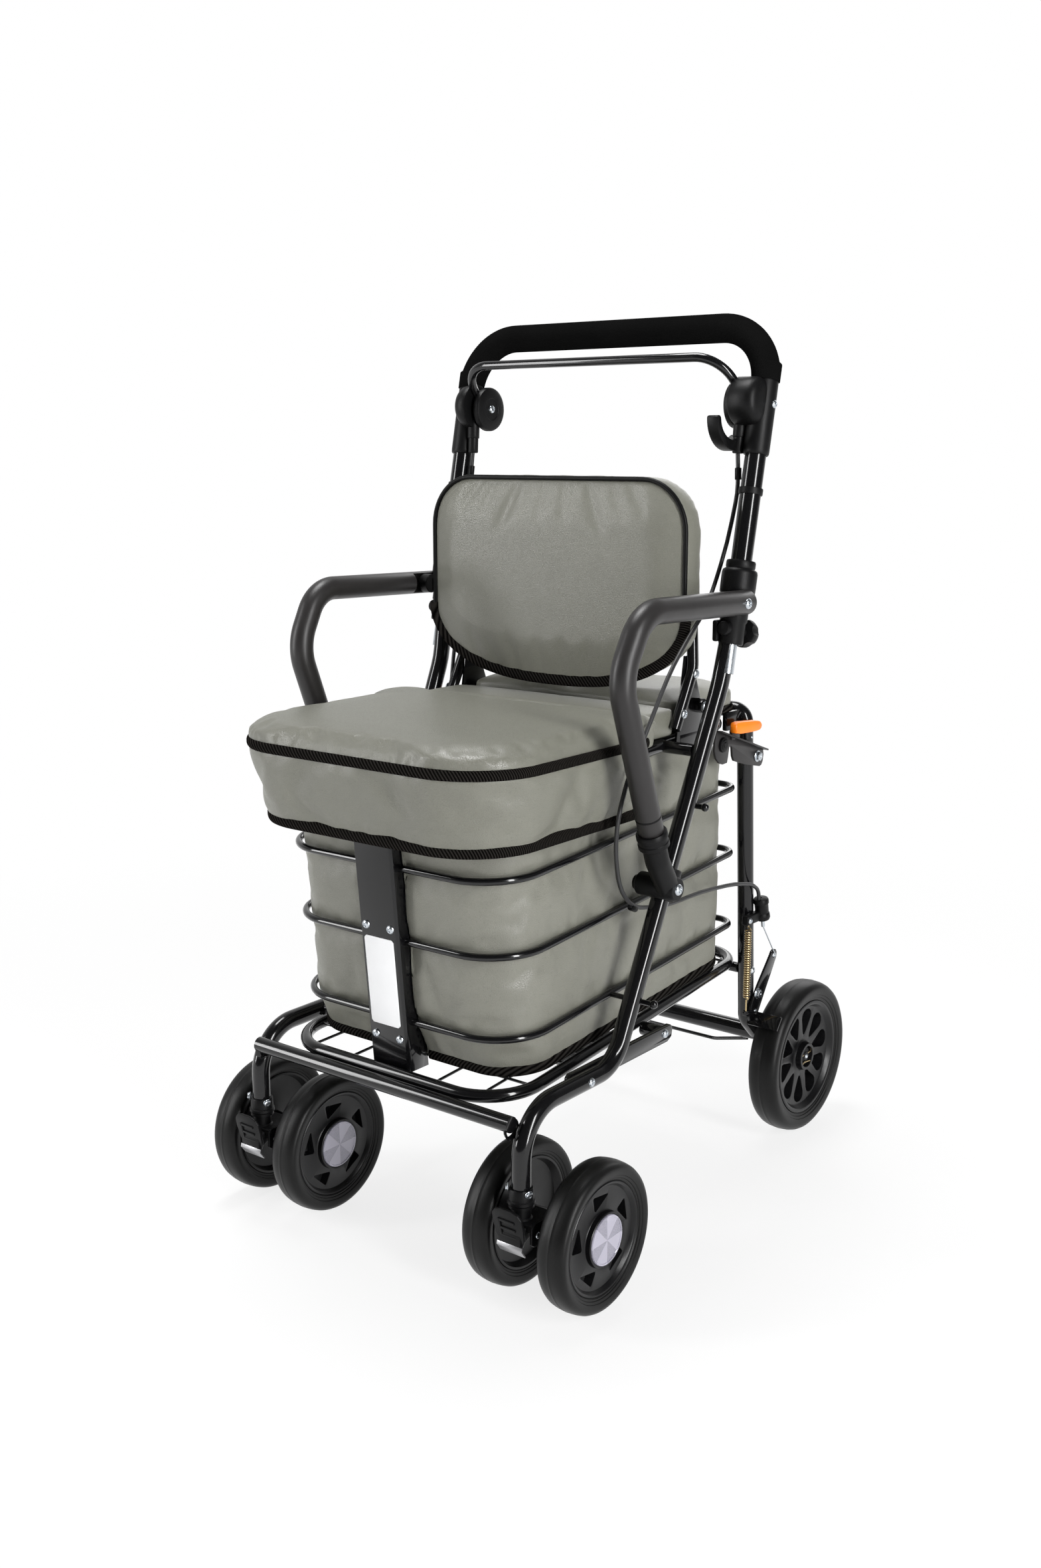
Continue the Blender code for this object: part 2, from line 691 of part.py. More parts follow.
def pad_outline(half_width, front, rear, front_radius, rear_radius, side_parts):
    """Plan of a pad: round corners, with points at parts of the way along the sides."""
    front_radius = max(front_radius, 0.006)
    rear_radius = max(rear_radius, 0.002)
    half = [(0.0, rear), (half_width * 0.5, rear)]
    for angle in (90, 45, 0):
        turn = math.radians(angle)
        half.append((half_width - rear_radius + rear_radius * math.cos(turn),
                     rear - rear_radius + rear_radius * math.sin(turn)))
    side_length = rear - front
    for part in side_parts:
        half.append((half_width, rear - side_length * part))
    for angle in (0, -22.5, -45, -67.5, -90):
        turn = math.radians(angle)
        half.append((half_width - front_radius + front_radius * math.cos(turn),
                     front + front_radius + front_radius * math.sin(turn)))
    half.append((half_width * 0.4, front))
    half.append((0.0, front))
    return half + [(-x, y) for x, y in reversed(half[1:-1])]


def blend(low, high, part):
    return low + (high - low) * part


def seat_lid():
    """Crowned seat pad whose vinyl skirt hangs round the front and sides."""
    def ring(inset, rise):
        points = []
        for x, y in pad_outline(0.176 - inset, -0.350 + inset, LID_HINGE.y - inset, 0.080 - inset,
                                0.010 - inset, (0.13, 0.20, 0.45)):
            points.append((x, y, rise(y)))
        return points

    def underside(y):
        rail_z = loop_side(**SEAT_LOOP, y=y)[1]
        return rail_z + SEAT_LOOP_RADIUS + GAP

    def skirt(y):
        part = min(max((-0.098 - y) / 0.016, 0.0), 1.0)
        return blend(underside(y), 0.449, part)

    def skirt_ring(near, far):
        points = []
        for (x_a, y_a, z_a), (x_b, y_b, z_b) in zip(ring(near, skirt), ring(far, skirt)):
            part = min(max((-0.098 - y_a) / 0.016, 0.0), 1.0)
            x, y = blend(x_a, x_b, part), blend(y_a, y_b, part)
            points.append((x, y, skirt(y)))
        return points

    rings = [
        ring(0.060, underside), ring(0.0115, underside), skirt_ring(0.0100, 0.0192),
        skirt_ring(0.0060, 0.0158), ring(0.0, lambda y: 0.530), ring(0.0030, lambda y: 0.5400),
        ring(0.0140, lambda y: 0.5455), ring(0.045, lambda y: 0.5500), ring(0.100, lambda y: 0.5530),
    ]
    return finish(loft("seat_lid", rings), "grey_vinyl", LID_HINGE)


def plain_pad(name, half_width, front, rear, levels, corner):
    """A crowned pad from (inset, height) levels. A height may be a function of y."""
    rings = []
    for inset, height in levels:
        ring = []
        for x, y in pad_outline(half_width - inset, front + inset, rear - inset, corner - inset,
                                corner - inset, (0.35, 0.65)):
            ring.append((x, y, height(y) if callable(height) else height))
        rings.append(ring)
    return loft(name, rings)


def rail_top(y):
    return loop_side(**SEAT_LOOP, y=y)[1] + SEAT_LOOP_RADIUS + GAP


def seat_bridge():
    levels = [(0.004, rail_top), (0.0, 0.530), (0.0, 0.541), (0.005, 0.5455)]
    solid = plain_pad("seat_bridge", 0.1455, LID_HINGE.y + 0.001, -0.0005, levels, 0.012)
    return finish(solid, "grey_vinyl")


def rear_flap():
    levels = [(0.006, rail_top), (0.0, 0.534), (0.0, 0.549), (0.007, 0.5565), (0.040, 0.5605)]
    solid = plain_pad("rear_flap", 0.1410, 0.0005, 0.1450, levels, 0.020)
    return finish(solid, "grey_vinyl", FLAP_HINGE)


def shopping_bag():
    """Open-topped bag that fills the hoops, with a notch for the front channel."""
    wall = 0.0025
    rise = BASE_LOOP["rise"]

    def ring(front_x, rear_x, front, rear, z, radius):
        corners = [(-front_x, front, z), (front_x, front, z),
                   (rear_x, rear, z + rise), (-rear_x, rear, z + rise)]
        return bent_route(corners, [radius] * 4, steps=3, closed=True)

    def front(z):
        return front_face(z) + 0.018

    def walls(shrink):
        return [
            ring(0.1400 - shrink, 0.1170 - shrink, -0.2580 + shrink, 0.1450 - shrink, 0.2125 + shrink,
                 0.040),
            ring(0.1455 - shrink, 0.1275 - shrink, front(0.250) + shrink, 0.1560 - shrink, 0.2500, 0.050),
            ring(0.1455 - shrink, 0.1275 - shrink, front(0.440) + shrink, 0.1560 - shrink, 0.4400, 0.050),
            ring(0.1420 - shrink, 0.1240 - shrink, front(0.487) + shrink, 0.1280 - shrink, 0.4870, 0.026),
        ]
    solid = loft("shopping_bag", walls(0.0) + list(reversed(walls(wall))))
    cut(solid, sloping_box("channel_notch", 0.0255, (-0.010, 0.0310), (0.150, 0.500)))
    return finish(solid, "grey_vinyl")


# Handle with its foam, brake housings and brake bar

def handle_tube():
    solid = tube("handle_tube", handle_route(HANDLE_FOOT_Z), HANDLE_TUBE_RADIUS)
    for label, side in SIDES.items():
        join(solid, rod("inner_rod_" + label, upper_axis(side, 0.588), upper_axis(side, 0.680), 0.0072,
                        sides=10))
    return finish(solid, "gloss_black_paint", upper_axis(1, HANDLE_FOOT_Z))


def foam_grip():
    solid = tube("foam_grip", handle_route(0.860), 0.015)
    cut(solid, tube("grip_bore", handle_route(0.840), bore_radius(HANDLE_TUBE_RADIUS, 8)))
    cut(solid, box("grip_end", (-0.25, 0.03, 0.80), (0.25, 0.13, 0.8935)))
    return finish(solid, "foam", upper_axis(1, HANDLE_FOOT_Z))


def brake_housing(label, side):
    """Plastic tee on the handle upright with the drum that the brake bar turns in."""
    centre = Vector((0.0, BRAKE_BAR_PIVOT.y, BRAKE_BAR_PIVOT.z))

    def on_pivot(x):
        return centre + Vector((side * x, 0.0, 0.0))

    solid = rod("brake_housing_" + label, upper_axis(side, 0.810), upper_axis(side, 0.8895), 0.0136)
    drum = rod("housing_drum_" + label, on_pivot(0.1735), on_pivot(0.2035), 0.0245, sides=12)
    outer = rod("housing_cap_" + label, on_pivot(0.2030), on_pivot(0.2090), 0.0110, sides=8)
    pin = rod("housing_pin_" + label, on_pivot(0.1600), on_pivot(0.1740), 0.0060, sides=8)
    disc = rod("housing_disc_" + label, on_pivot(0.1565), on_pivot(0.1645), 0.0245, sides=12)
    sleeve = rod("cable_sleeve_" + label, (side * 0.1775, 0.0680, 0.8460),
                 (side * 0.1735, 0.0640, 0.8105), 0.0050, sides=8)
    hook = plate("hook_" + label, hook_outline(), side * 0.1680, side * 0.1760)
    join(solid, drum, outer, pin, disc, sleeve, hook)
    cut(solid, tube("housing_bore_" + label, handle_half(side), bore_radius(HANDLE_TUBE_RADIUS, 10),
                    resolution=3))
    return finish(solid, "black_plastic", upper_axis(1, HANDLE_FOOT_Z))


def handle_half(side):
    """The handle's route on one side, from below the housing to the middle of the cross run."""
    route = handle_route(0.780)
    return route[:6] if side < 0 else route[-6:]


def hook_outline():
    """Curved hook under the drum, open to the front and top."""
    centre = (0.0560, 0.8460)
    outer = [(centre[0] - 0.0360 * math.cos(math.radians(a)), centre[1] - 0.0330 * math.sin(math.radians(a)))
             for a in (0, 30, 60, 88)]
    inner = [(centre[0] - 0.0270 * math.cos(math.radians(a)), centre[1] - 0.0200 * math.sin(math.radians(a)))
             for a in (88, 50, 0)]
    return [*outer, (0.0680, 0.8130), (0.0680, 0.8260), *inner]


def brake_bar():
    pivot = BRAKE_BAR_PIVOT
    corners = []
    for side in (-1, 1):
        leg = [(side * 0.169, pivot.y, pivot.z), (side * 0.169, 0.0385, 0.907)]
        corners.extend(leg if side < 0 else reversed(leg))
    route = bent_route(corners, [0, 0.035, 0.035, 0], steps=4)
    solid = tube("brake_bar", route, 0.0039, resolution=1)
    for label, side in SIDES.items():
        eye = rod("bar_eye_" + label, (side * 0.1652, pivot.y, pivot.z), (side * 0.1728, pivot.y, pivot.z),
                  0.0115, sides=12)
        join(solid, eye)
    for label, side in SIDES.items():
        cut(solid, rod("bar_eye_bore_" + label, (side * 0.160, pivot.y, pivot.z),
                       (side * 0.178, pivot.y, pivot.z), bore_radius(0.0060, 12), sides=12))
    return finish(solid, "gloss_black_paint", (0.0, pivot.y, pivot.z))


CABLE_ROUTE = [
    (0.1733, 0.0637, 0.8099), (0.1750, 0.0630, 0.7900), (0.1757, 0.0600, 0.7700),
    (0.1730, 0.0480, 0.7200), (0.1675, 0.0320, 0.6740), (0.1745, 0.0060, 0.6520),
    (0.1770, -0.0180, 0.6340), (0.1800, -0.0630, 0.5985), (0.1830, -0.1080, 0.5440),
    (0.1835, -0.1400, 0.5030), (0.1820, -0.1550, 0.4660), (0.1780, -0.1530, 0.4310),
    (0.1710, -0.1360, 0.3880), (0.1640, -0.1000, 0.3580), (0.1590, -0.0300, 0.3430),
    (0.1560, 0.0450, 0.3420), (0.1520, 0.1250, 0.3330), (0.1505, 0.1670, 0.3230),
    (0.1490, 0.1845, 0.3120), (0.1480, 0.1885, 0.2998),
]

# The left cable hangs close behind the side tube instead of looping forward
LEFT_CABLE_ROUTE = CABLE_ROUTE[:4] + [
    (0.1675, 0.0330, 0.6740), (0.1695, 0.0260, 0.6350), (0.1715, 0.0175, 0.5800),
    (0.1710, 0.0090, 0.5250), (0.1685, 0.0100, 0.4700), (0.1640, 0.0200, 0.4200),
    (0.1590, 0.0400, 0.3750), (0.1550, 0.0750, 0.3480),
] + CABLE_ROUTE[16:]


def brake_cable(label, side):
    """Sheathed wire from the brake housing, past the armrest, to the rear brake."""
    route = CABLE_ROUTE if side > 0 else LEFT_CABLE_ROUTE
    route = smooth_route([(side * x, y, z) for x, y, z in route], 29)
    return finish(tube("brake_cable_" + label, route, 0.00225, resolution=1), "cable_sleeve")


# Rear folding frame with its latch and brakes

def rear_frame():
    """Inverted tube arch with a wheel tube, axle plates and the bolts of its latches and brakes."""
    corners = []
    for side in (-1, 1):
        leg = [(side * 0.133, 0.217, 0.125), leg_axis(side, 0.150), leg_axis(side, 0.525)]
        corners.extend(leg if side < 0 else reversed(leg))
    route = bent_route(corners, [0, 0.020, 0.024, 0.024, 0.020, 0], steps=3)
    solid = tube("rear_frame", route, REAR_LEG_RADIUS)
    join(solid, rod("wheel_tube", (-0.1420, 0.217, 0.125), (0.1420, 0.217, 0.125), 0.010, sides=10))
    axle_plate = [(0.2050, 0.1370), (0.2290, 0.1370), (0.2680, 0.1010), (0.2680, 0.0830), (0.2500, 0.0830),
                  (0.2050, 0.1130)]
    for label, side in SIDES.items():
        x_outer = REAR_WHEEL_X + 0.0088
        join(solid, plate("axle_plate_" + label, axle_plate, side * 0.1385, side * 0.1425))
        join(solid, rod("axle_" + label, (side * 0.1400, REAR_AXLE.y, REAR_AXLE.z),
                        (side * (x_outer + 0.001), REAR_AXLE.y, REAR_AXLE.z), 0.0055, sides=10))
        join(solid, rod("axle_cap_" + label, (side * x_outer, REAR_AXLE.y, REAR_AXLE.z),
                        (side * (x_outer + 0.0040), REAR_AXLE.y, REAR_AXLE.z), 0.0110, sides=10))
        for name, pivot in (("arm", BRAKE_ARM_PIVOT), ("latch", LATCH_PIVOT)):
            join(solid, rod("%s_pin_%s" % (name, label), (side * 0.1360, pivot.y, pivot.z),
                            (side * 0.1475, pivot.y, pivot.z), 0.0030, sides=6))
            join(solid, rod("%s_head_%s" % (name, label), (side * 0.1468, pivot.y, pivot.z),
                            (side * 0.1500, pivot.y, pivot.z), 0.0056, sides=6))
    return finish(solid, "gloss_black_paint", FOLD_PIVOT)


def cable_clamp(label, side):
    """Barrel that holds the end of the brake cable's sheath beside the rear leg."""
    low_x, high_x = sorted((side * 0.1414, side * 0.1500))
    solid = box("cable_clamp_" + label, (low_x, 0.1610, 0.2735), (high_x, 0.1990, 0.2850))
    barrel_foot = (side * 0.1480, 0.1920, 0.2600)
    barrel_top = (side * 0.1480, 0.1886, 0.2980)
    join(solid, rod("clamp_barrel_" + label, barrel_foot, barrel_top, 0.0068, sides=12))
    return finish(solid, "black_plastic", FOLD_PIVOT)


SPRING_TOP = Vector((0.1480, 0.1655, 0.2732))
SPRING_FOOT = Vector((0.1480, 0.1655, 0.1690))
SPRING_CURLS = 11
SPRING_COIL_RADIUS = 0.0032
SPRING_WIRE_RADIUS = 0.0009
POINTS_PER_CURL = 7


def brake_spring(label, side):
    """One unbroken wire: straight ends on the axis and a close coil between them."""
    straight = 2 * SPRING_WIRE_RADIUS
    lead = 0.0040
    top, foot = SPRING_TOP.z - GAP, SPRING_FOOT.z
    coil_top, coil_foot = top - straight - lead, foot + straight + lead
    steps = SPRING_CURLS * POINTS_PER_CURL
    route = [(0.0, 0.0, top), (0.0, 0.0, top - straight)]
    for step in range(steps + 1):
        part = step / steps
        angle = 2 * math.pi * SPRING_CURLS * part
        z = coil_top + (coil_foot - coil_top) * part
        route.append((SPRING_COIL_RADIUS * math.cos(angle), SPRING_COIL_RADIUS * math.sin(angle), z))
    route.extend([(0.0, 0.0, foot + straight), (0.0, 0.0, foot)])
    axis = Vector((side * SPRING_TOP.x, SPRING_TOP.y, 0.0))
    route = [axis + Vector(point) for point in route]
    pitch = (coil_top - coil_foot) / SPRING_CURLS
    gap = min((a - b).length for i, a in enumerate(route) for b in route[i + POINTS_PER_CURL - 2:])
    print("spring", label, "pitch %.2f mm, least gap %.2f mm"
          % (pitch * 1000, (gap - 2 * SPRING_WIRE_RADIUS) * 1000))
    solid = tube("brake_spring_" + label, route, SPRING_WIRE_RADIUS, resolution=1)
    return finish(solid, "brass_wire", FOLD_PIVOT)


def latch_plate(label, side):
    """Hooked side plate that holds the rear frame open on the seat loop's pin."""
    outline = [
        (0.0860, 0.5140), (0.1900, 0.4790), (0.1900, 0.4640), (0.1830, 0.4590), (0.1250, 0.4740),
        (0.1200, 0.4900), (0.1140, 0.4910), (0.1100, 0.4740), (0.0930, 0.4760), (0.0830, 0.4900),
    ]
    solid = plate("latch_plate_" + label, outline, side * 0.1435, side * 0.1465)
    flange = [(0.0860, 0.5140), (0.1900, 0.4790), (0.1894, 0.4770), (0.0854, 0.5120)]
    join(solid, plate("latch_flange_" + label, flange, side * 0.1440, side * 0.1540))
    join(solid, rod("latch_disc_" + label, (side * 0.1455, 0.0990, 0.4960), (side * 0.1495, 0.0990, 0.4960),
                    0.0080))
    cut(solid, rod("latch_bore_" + label, (side * 0.1400, LATCH_PIVOT.y, LATCH_PIVOT.z),
                   (side * 0.1490, LATCH_PIVOT.y, LATCH_PIVOT.z), bore_radius(0.0030, 10), sides=10))
    return finish(solid, "charcoal_paint", (side * LATCH_PIVOT.x, LATCH_PIVOT.y, LATCH_PIVOT.z))


def release_tab(label, side):
    seat = [(y, 0.5140 - (y - 0.0860) * 0.33654 + GAP) for y in (0.1120, 0.1500)]
    outline = [seat[0], (0.1180, 0.5180), (0.1500, 0.5150), (0.1740, 0.5110), (0.1790, 0.5040),
               (0.1720, 0.5000), seat[1]]
    solid = plate("release_tab_" + label, outline, side * 0.1470, side * 0.1590)
    return finish(solid, "orange_plastic", (side * LATCH_PIVOT.x, LATCH_PIVOT.y, LATCH_PIVOT.z))


def brake_arm(label, side):
    """Lever beside the rear wheel with a bar that presses on the tyre."""
    pivot = BRAKE_ARM_PIVOT
    outline = [
        (0.2180, 0.2220), (0.2260, 0.2255), (0.2300, 0.2180), (0.2020, 0.1800), (0.1885, 0.1585),
        (0.1820, 0.1505), (0.1770, 0.1570), (0.1840, 0.1800), (0.1880, 0.1890),
    ]
    solid = plate("brake_arm_" + label, outline, side * 0.1435, side * 0.1465)
    to_shoe = Vector((0.0, -0.7725, 0.6349))
    shoe_middle = REAR_AXLE + to_shoe * 0.0978
    flat = Vector((0.0, 0.6349, 0.7725))
    corners = []
    for out, along in ((-0.0015, -0.007), (-0.0015, 0.009), (0.0015, 0.009), (0.0015, -0.007)):
        corner = shoe_middle + to_shoe * out + flat * along
        corners.append((corner.y, corner.z))
    join(solid, plate("brake_shoe_" + label, corners, side * 0.1445, side * 0.1800))
    lug = [(0.1840, 0.1640), (0.1840, 0.1560), (0.1640, 0.1630), (0.1640, SPRING_FOOT.z - GAP),
           (0.1672, SPRING_FOOT.z - GAP)]
    join(solid, plate("spring_lug_" + label, lug, side * 0.1440, side * 0.1495))
    cut(solid, rod("arm_bore_" + label, (side * 0.1400, pivot.y, pivot.z), (side * 0.1490, pivot.y, pivot.z),
                   bore_radius(0.0030, 10), sides=10))
    return finish(solid, "gloss_black_paint", (side * pivot.x, pivot.y, pivot.z))


# Wheels

def tyre_profile(outer, inner, half_width, shoulder):
    """A closed ring section with rounded shoulders, from the outer side down to the inner side."""
    half = [(inner, half_width * 0.74), (outer - shoulder, half_width), (outer, half_width * 0.45)]
    return half + [(radius, -height) for radius, height in reversed(half)]


def rear_wheel(label, side):
    centre = Vector((side * REAR_WHEEL_X, REAR_AXLE.y, REAR_AXLE.z))
    tyre = turned("rear_tyre_" + label,
                  tyre_profile(REAR_WHEEL_RADIUS, REAR_TYRE_INNER_RADIUS, REAR_TYRE_HALF_WIDTH, 0.0075),
                  REAR_STEPS, centre, side)
    finish(tyre, "tyre_rubber")
    rim = REAR_TYRE_INNER_RADIUS - GAP
    bore = bore_radius(0.0055, REAR_STEPS)
    profile = [
        (bore, 0.0083), (0.0125, 0.0083), (0.0125, 0.0145), (0.0165, 0.0145), (0.0200, 0.0060),
        (0.0610, 0.0085), (0.0650, 0.0150), (rim, 0.0150), (rim, -0.0150), (0.0600, 0.0020),
        (bore, -0.0160),
    ]
    hub = turned("rear_hub_" + label, profile, REAR_STEPS, centre, side)
    petals = 10
    for index in range(petals):
        turn = 2 * math.pi * (index + 0.27) / petals
        cut(hub, petal("petal_%s_%d" % (label, index), centre, turn, side))
    finish(hub, "hub_plastic")


def petal(name, centre, turn, side):
    """Teardrop cutter: wide near the rim and narrow toward the boss."""
    shape = [(0.0290, 0.0), (0.0480, 0.0070), (0.0550, 0.0), (0.0480, -0.0070)]
    outline = []
    for out, across in shape:
        outline.append((centre.y + out * math.cos(turn) - across * math.sin(turn),
                        centre.z + out * math.sin(turn) + across * math.cos(turn)))
    return plate(name, outline, centre.x - 0.012, centre.x + 0.018)


def front_wheel(name, place, outward):
    centre = Vector((place, CASTER_Y + CASTER_TRAIL, FRONT_WHEEL_RADIUS))
    tyre = turned("front_tyre_" + name,
                  tyre_profile(FRONT_WHEEL_RADIUS, FRONT_TYRE_INNER_RADIUS, FRONT_TYRE_HALF_WIDTH, 0.0060),
                  FRONT_STEPS, centre, outward)
    finish(tyre, "tyre_rubber")
    rim = FRONT_TYRE_INNER_RADIUS - GAP
    profile = [
        (0.0, 0.0147), (0.0255, 0.0147), (0.0265, 0.0090), (0.0530, 0.0080), (rim, 0.0125), (rim, -0.0125),
        (0.0505, 0.0040), (0.0110, 0.0040), (0.0110, -0.0160), (0.0, -0.0160),
    ]
    hub = turned("front_hub_" + name, profile, FRONT_STEPS, centre, outward)
    axle_hole = rod("axle_hole_" + name, centre + Vector((-outward * 0.030, 0, 0)),
                    centre + Vector((outward * 0.0085, 0, 0)), bore_radius(0.0040, 8), sides=8)
    cut(hub, axle_hole)
    windows = 6
    for index in range(windows):
        turn = 2 * math.pi * (index + 0.21) / windows
        cut(hub, window("window_%s_%d" % (name, index), centre, turn, outward))
    finish(hub, "hub_plastic")


def window(name, centre, turn, outward):
    """Slanted four-sided cutter near the rim."""
    outline = []
    for out, across in ((0.0345, 0.0015), (0.0465, 0.0065), (0.0465, -0.0075), (0.0345, -0.0045)):
        outline.append((centre.y + out * math.cos(turn) - across * outward * math.sin(turn),
                        centre.z + out * math.sin(turn) + across * outward * math.cos(turn)))
    return plate(name, outline, centre.x - 0.012, centre.x + 0.013)


def caster_fork(label, side):
    """Swivelling yoke between the twin wheels, with their axle through its arms."""
    stem_x = side * CASTER_X
    axle_y = CASTER_Y + CASTER_TRAIL
    solid = rod("caster_fork_" + label, (stem_x, CASTER_Y, 0.0960), (stem_x, CASTER_Y, STEM_FOOT_Z - GAP),
                0.0140, sides=12)
    bridge = box("fork_bridge_" + label, (stem_x - 0.0195, CASTER_Y - 0.008, 0.0940),
                 (stem_x + 0.0195, CASTER_Y + 0.028, 0.1022))
    arm = [(CASTER_Y - 0.010, 0.1030), (CASTER_Y + 0.030, 0.1030), (axle_y + 0.0110, 0.0760),
           (axle_y + 0.0060, 0.0650), (axle_y - 0.0080, 0.0650), (CASTER_Y + 0.006, 0.0790),
           (CASTER_Y - 0.010, 0.0800)]
    arms = []
    for index, x in enumerate((stem_x - 0.0205, stem_x + 0.0175)):
        arms.append(plate("fork_arm_%s_%d" % (label, index), arm, x, x + 0.0030))
    axle_reach = FRONT_TWIN_OFFSET + 0.0080
    axle = rod("fork_axle_" + label, (stem_x - axle_reach, axle_y, FRONT_WHEEL_RADIUS),
               (stem_x + axle_reach, axle_y, FRONT_WHEEL_RADIUS), 0.0040, sides=8)
    collars = rod("fork_spacer_" + label, (stem_x - 0.0285, axle_y, FRONT_WHEEL_RADIUS),
                  (stem_x + 0.0285, axle_y, FRONT_WHEEL_RADIUS), 0.0080, sides=8)
    pedal_pin = rod("pedal_pin_" + label, (stem_x - 0.0190, CASTER_Y, PEDAL_PIN_Z),
                    (stem_x + 0.0190, CASTER_Y, PEDAL_PIN_Z), 0.0025, sides=6)
    join(solid, bridge, *arms, collars, axle, pedal_pin)
    return finish(solid, "black_plastic", (stem_x, CASTER_Y, STEM_FOOT_Z))


def caster_pedal(label, side):
    """Foot pedal that locks the swivel, on a cross pin in front of the yoke."""
    stem_x = side * CASTER_X
    outline = [
        (CASTER_Y + 0.0020, 0.0915), (CASTER_Y - 0.0190, 0.0830), (CASTER_Y - 0.0290, 0.0560),
        (CASTER_Y - 0.0240, 0.0480), (CASTER_Y - 0.0200, 0.0500), (CASTER_Y - 0.0130, 0.0740),
        (CASTER_Y + 0.0020, 0.0800),
    ]
    solid = plate("caster_pedal_" + label, outline, stem_x - 0.0140, stem_x + 0.0140)
    for index in range(3):
        z = 0.0610 + 0.0065 * index
        y = CASTER_Y - 0.0272 + 0.0024 * index
        join(solid, rod("pedal_rib_%s_%d" % (label, index), (stem_x - 0.010, y, z),
                        (stem_x + 0.010, y, z), 0.0016, sides=6))
    cut(solid, rod("pedal_bore_" + label, (stem_x - 0.020, CASTER_Y, PEDAL_PIN_Z),
                   (stem_x + 0.020, CASTER_Y, PEDAL_PIN_Z), bore_radius(0.0025, 8), sides=8))
    return finish(solid, "black_plastic", (stem_x, CASTER_Y, PEDAL_PIN_Z))


def build_walker():
    for label, side in SIDES.items():
        side_tube(label, side)
        collar(label, side)
        height_knob(label, side)
        armrest(label, side)
        armrest_bracket(label, side)
        brake_housing(label, side)
        brake_cable(label, side)
        cable_clamp(label, side)
        brake_spring(label, side)
        latch_plate(label, side)
        release_tab(label, side)
        brake_arm(label, side)
        rear_wheel(label, side)
        caster_fork(label, side)
        caster_pedal(label, side)
        for twin, outward in (("inner", -side), ("outer", side)):
            place = side * CASTER_X + outward * FRONT_TWIN_OFFSET
            front_wheel("%s_%s" % (label, twin), place, outward)
    front_cross_tube()
    base_loop()
    floor_grid()
    for label, height in HOOP_HEIGHTS.items():
        hoop(label, height)
    front_channel()
    label_plate()
    seat_loop()
    backrest_cushion()
    backrest_frame()
    seat_lid()
    seat_bridge()
    rear_flap()
    shopping_bag()
    handle_tube()
    foam_grip()
    brake_bar()
    rear_frame()


build_walker()
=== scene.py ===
# %% [markdown]
# # A shopping walker in black tube and grey-green vinyl
# The object is a walking aid with a padded seat over a bag that hangs in wire hoops. Its
# tubes are gloss black, its seat and bag are vinyl, and its handle has a foam grip.
# The imported model holds every size and joint, so this script starts by loading it and
# only adds looks: each new piece sits where its CAD solid is, and all but the springs and
# cables ride on the same body.

# %% Load the frame and let go of what it selected
import math

import bpy
from mathutils import Matrix, Vector


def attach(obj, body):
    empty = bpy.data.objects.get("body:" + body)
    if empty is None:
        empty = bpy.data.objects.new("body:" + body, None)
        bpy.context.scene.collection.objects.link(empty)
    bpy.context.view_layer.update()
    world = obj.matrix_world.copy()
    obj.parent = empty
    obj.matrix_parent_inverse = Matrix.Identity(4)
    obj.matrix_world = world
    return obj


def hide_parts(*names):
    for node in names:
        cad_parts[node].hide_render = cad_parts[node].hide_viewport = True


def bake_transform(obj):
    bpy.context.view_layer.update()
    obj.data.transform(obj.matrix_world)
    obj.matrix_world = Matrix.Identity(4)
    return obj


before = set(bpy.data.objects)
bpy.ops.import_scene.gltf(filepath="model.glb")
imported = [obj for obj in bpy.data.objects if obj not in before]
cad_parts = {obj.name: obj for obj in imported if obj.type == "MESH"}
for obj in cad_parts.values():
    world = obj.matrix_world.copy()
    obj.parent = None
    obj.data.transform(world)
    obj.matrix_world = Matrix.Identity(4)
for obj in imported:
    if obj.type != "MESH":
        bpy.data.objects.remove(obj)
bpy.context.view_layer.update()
bpy.ops.object.select_all(action="DESELECT")

# %% [markdown]
# ## Camera
# The photograph looks down a little on the walker's front right corner. A long-ish lens
# from two metres away keeps the near wheels from swelling. The angles and the distance
# were solved from straight tubes and round wheels, so the render can be laid over it.

# %% Camera
CAMERA_PLACE = (1.0431, -1.4150, 0.8156)
CAMERA_AZIMUTH = 37.907
CAMERA_DROP = 11.770
LENS = 36.97

bpy.ops.object.camera_add(
    location=CAMERA_PLACE,
    rotation=(math.radians(90 - CAMERA_DROP), 0, math.radians(CAMERA_AZIMUTH)))
camera = bpy.context.object
camera.name = "studio_camera"
camera.data.lens = LENS
camera.data.sensor_fit = "VERTICAL"
camera.data.sensor_height = 36
camera.data.clip_end = 60
bpy.context.scene.camera = camera
bpy.context.scene.view_settings.view_transform = "Standard"
print("camera looks from", [round(value, 2) for value in CAMERA_PLACE])

# %% [markdown]
# ## Shader maths in plain Python
# A procedural finish is a small sum: a base value plus grain, plus wear. Nodes make that
# sum hard to read, so a wrapper round a socket lets Python's own operators build the Math
# nodes. One method adds every other node, so that each finish below reads as a recipe.

# %% A socket that can be added, multiplied and mixed
class Signal:
    """A number that flows out of a node."""

    def __init__(self, recipe, socket):
        self.recipe = recipe
        self.socket = socket

    def __add__(self, other):
        return self.recipe.math("ADD", self, other)

    __radd__ = __add__

    def __sub__(self, other):
        return self.recipe.math("SUBTRACT", self, other)

    def __rsub__(self, other):
        return self.recipe.math("SUBTRACT", other, self)

    def __mul__(self, other):
        return self.recipe.math("MULTIPLY", self, other)

    __rmul__ = __mul__

    def above(self, level):
        return self.recipe.math("GREATER_THAN", self, level)

    def size(self):
        return self.recipe.math("ABSOLUTE", self)


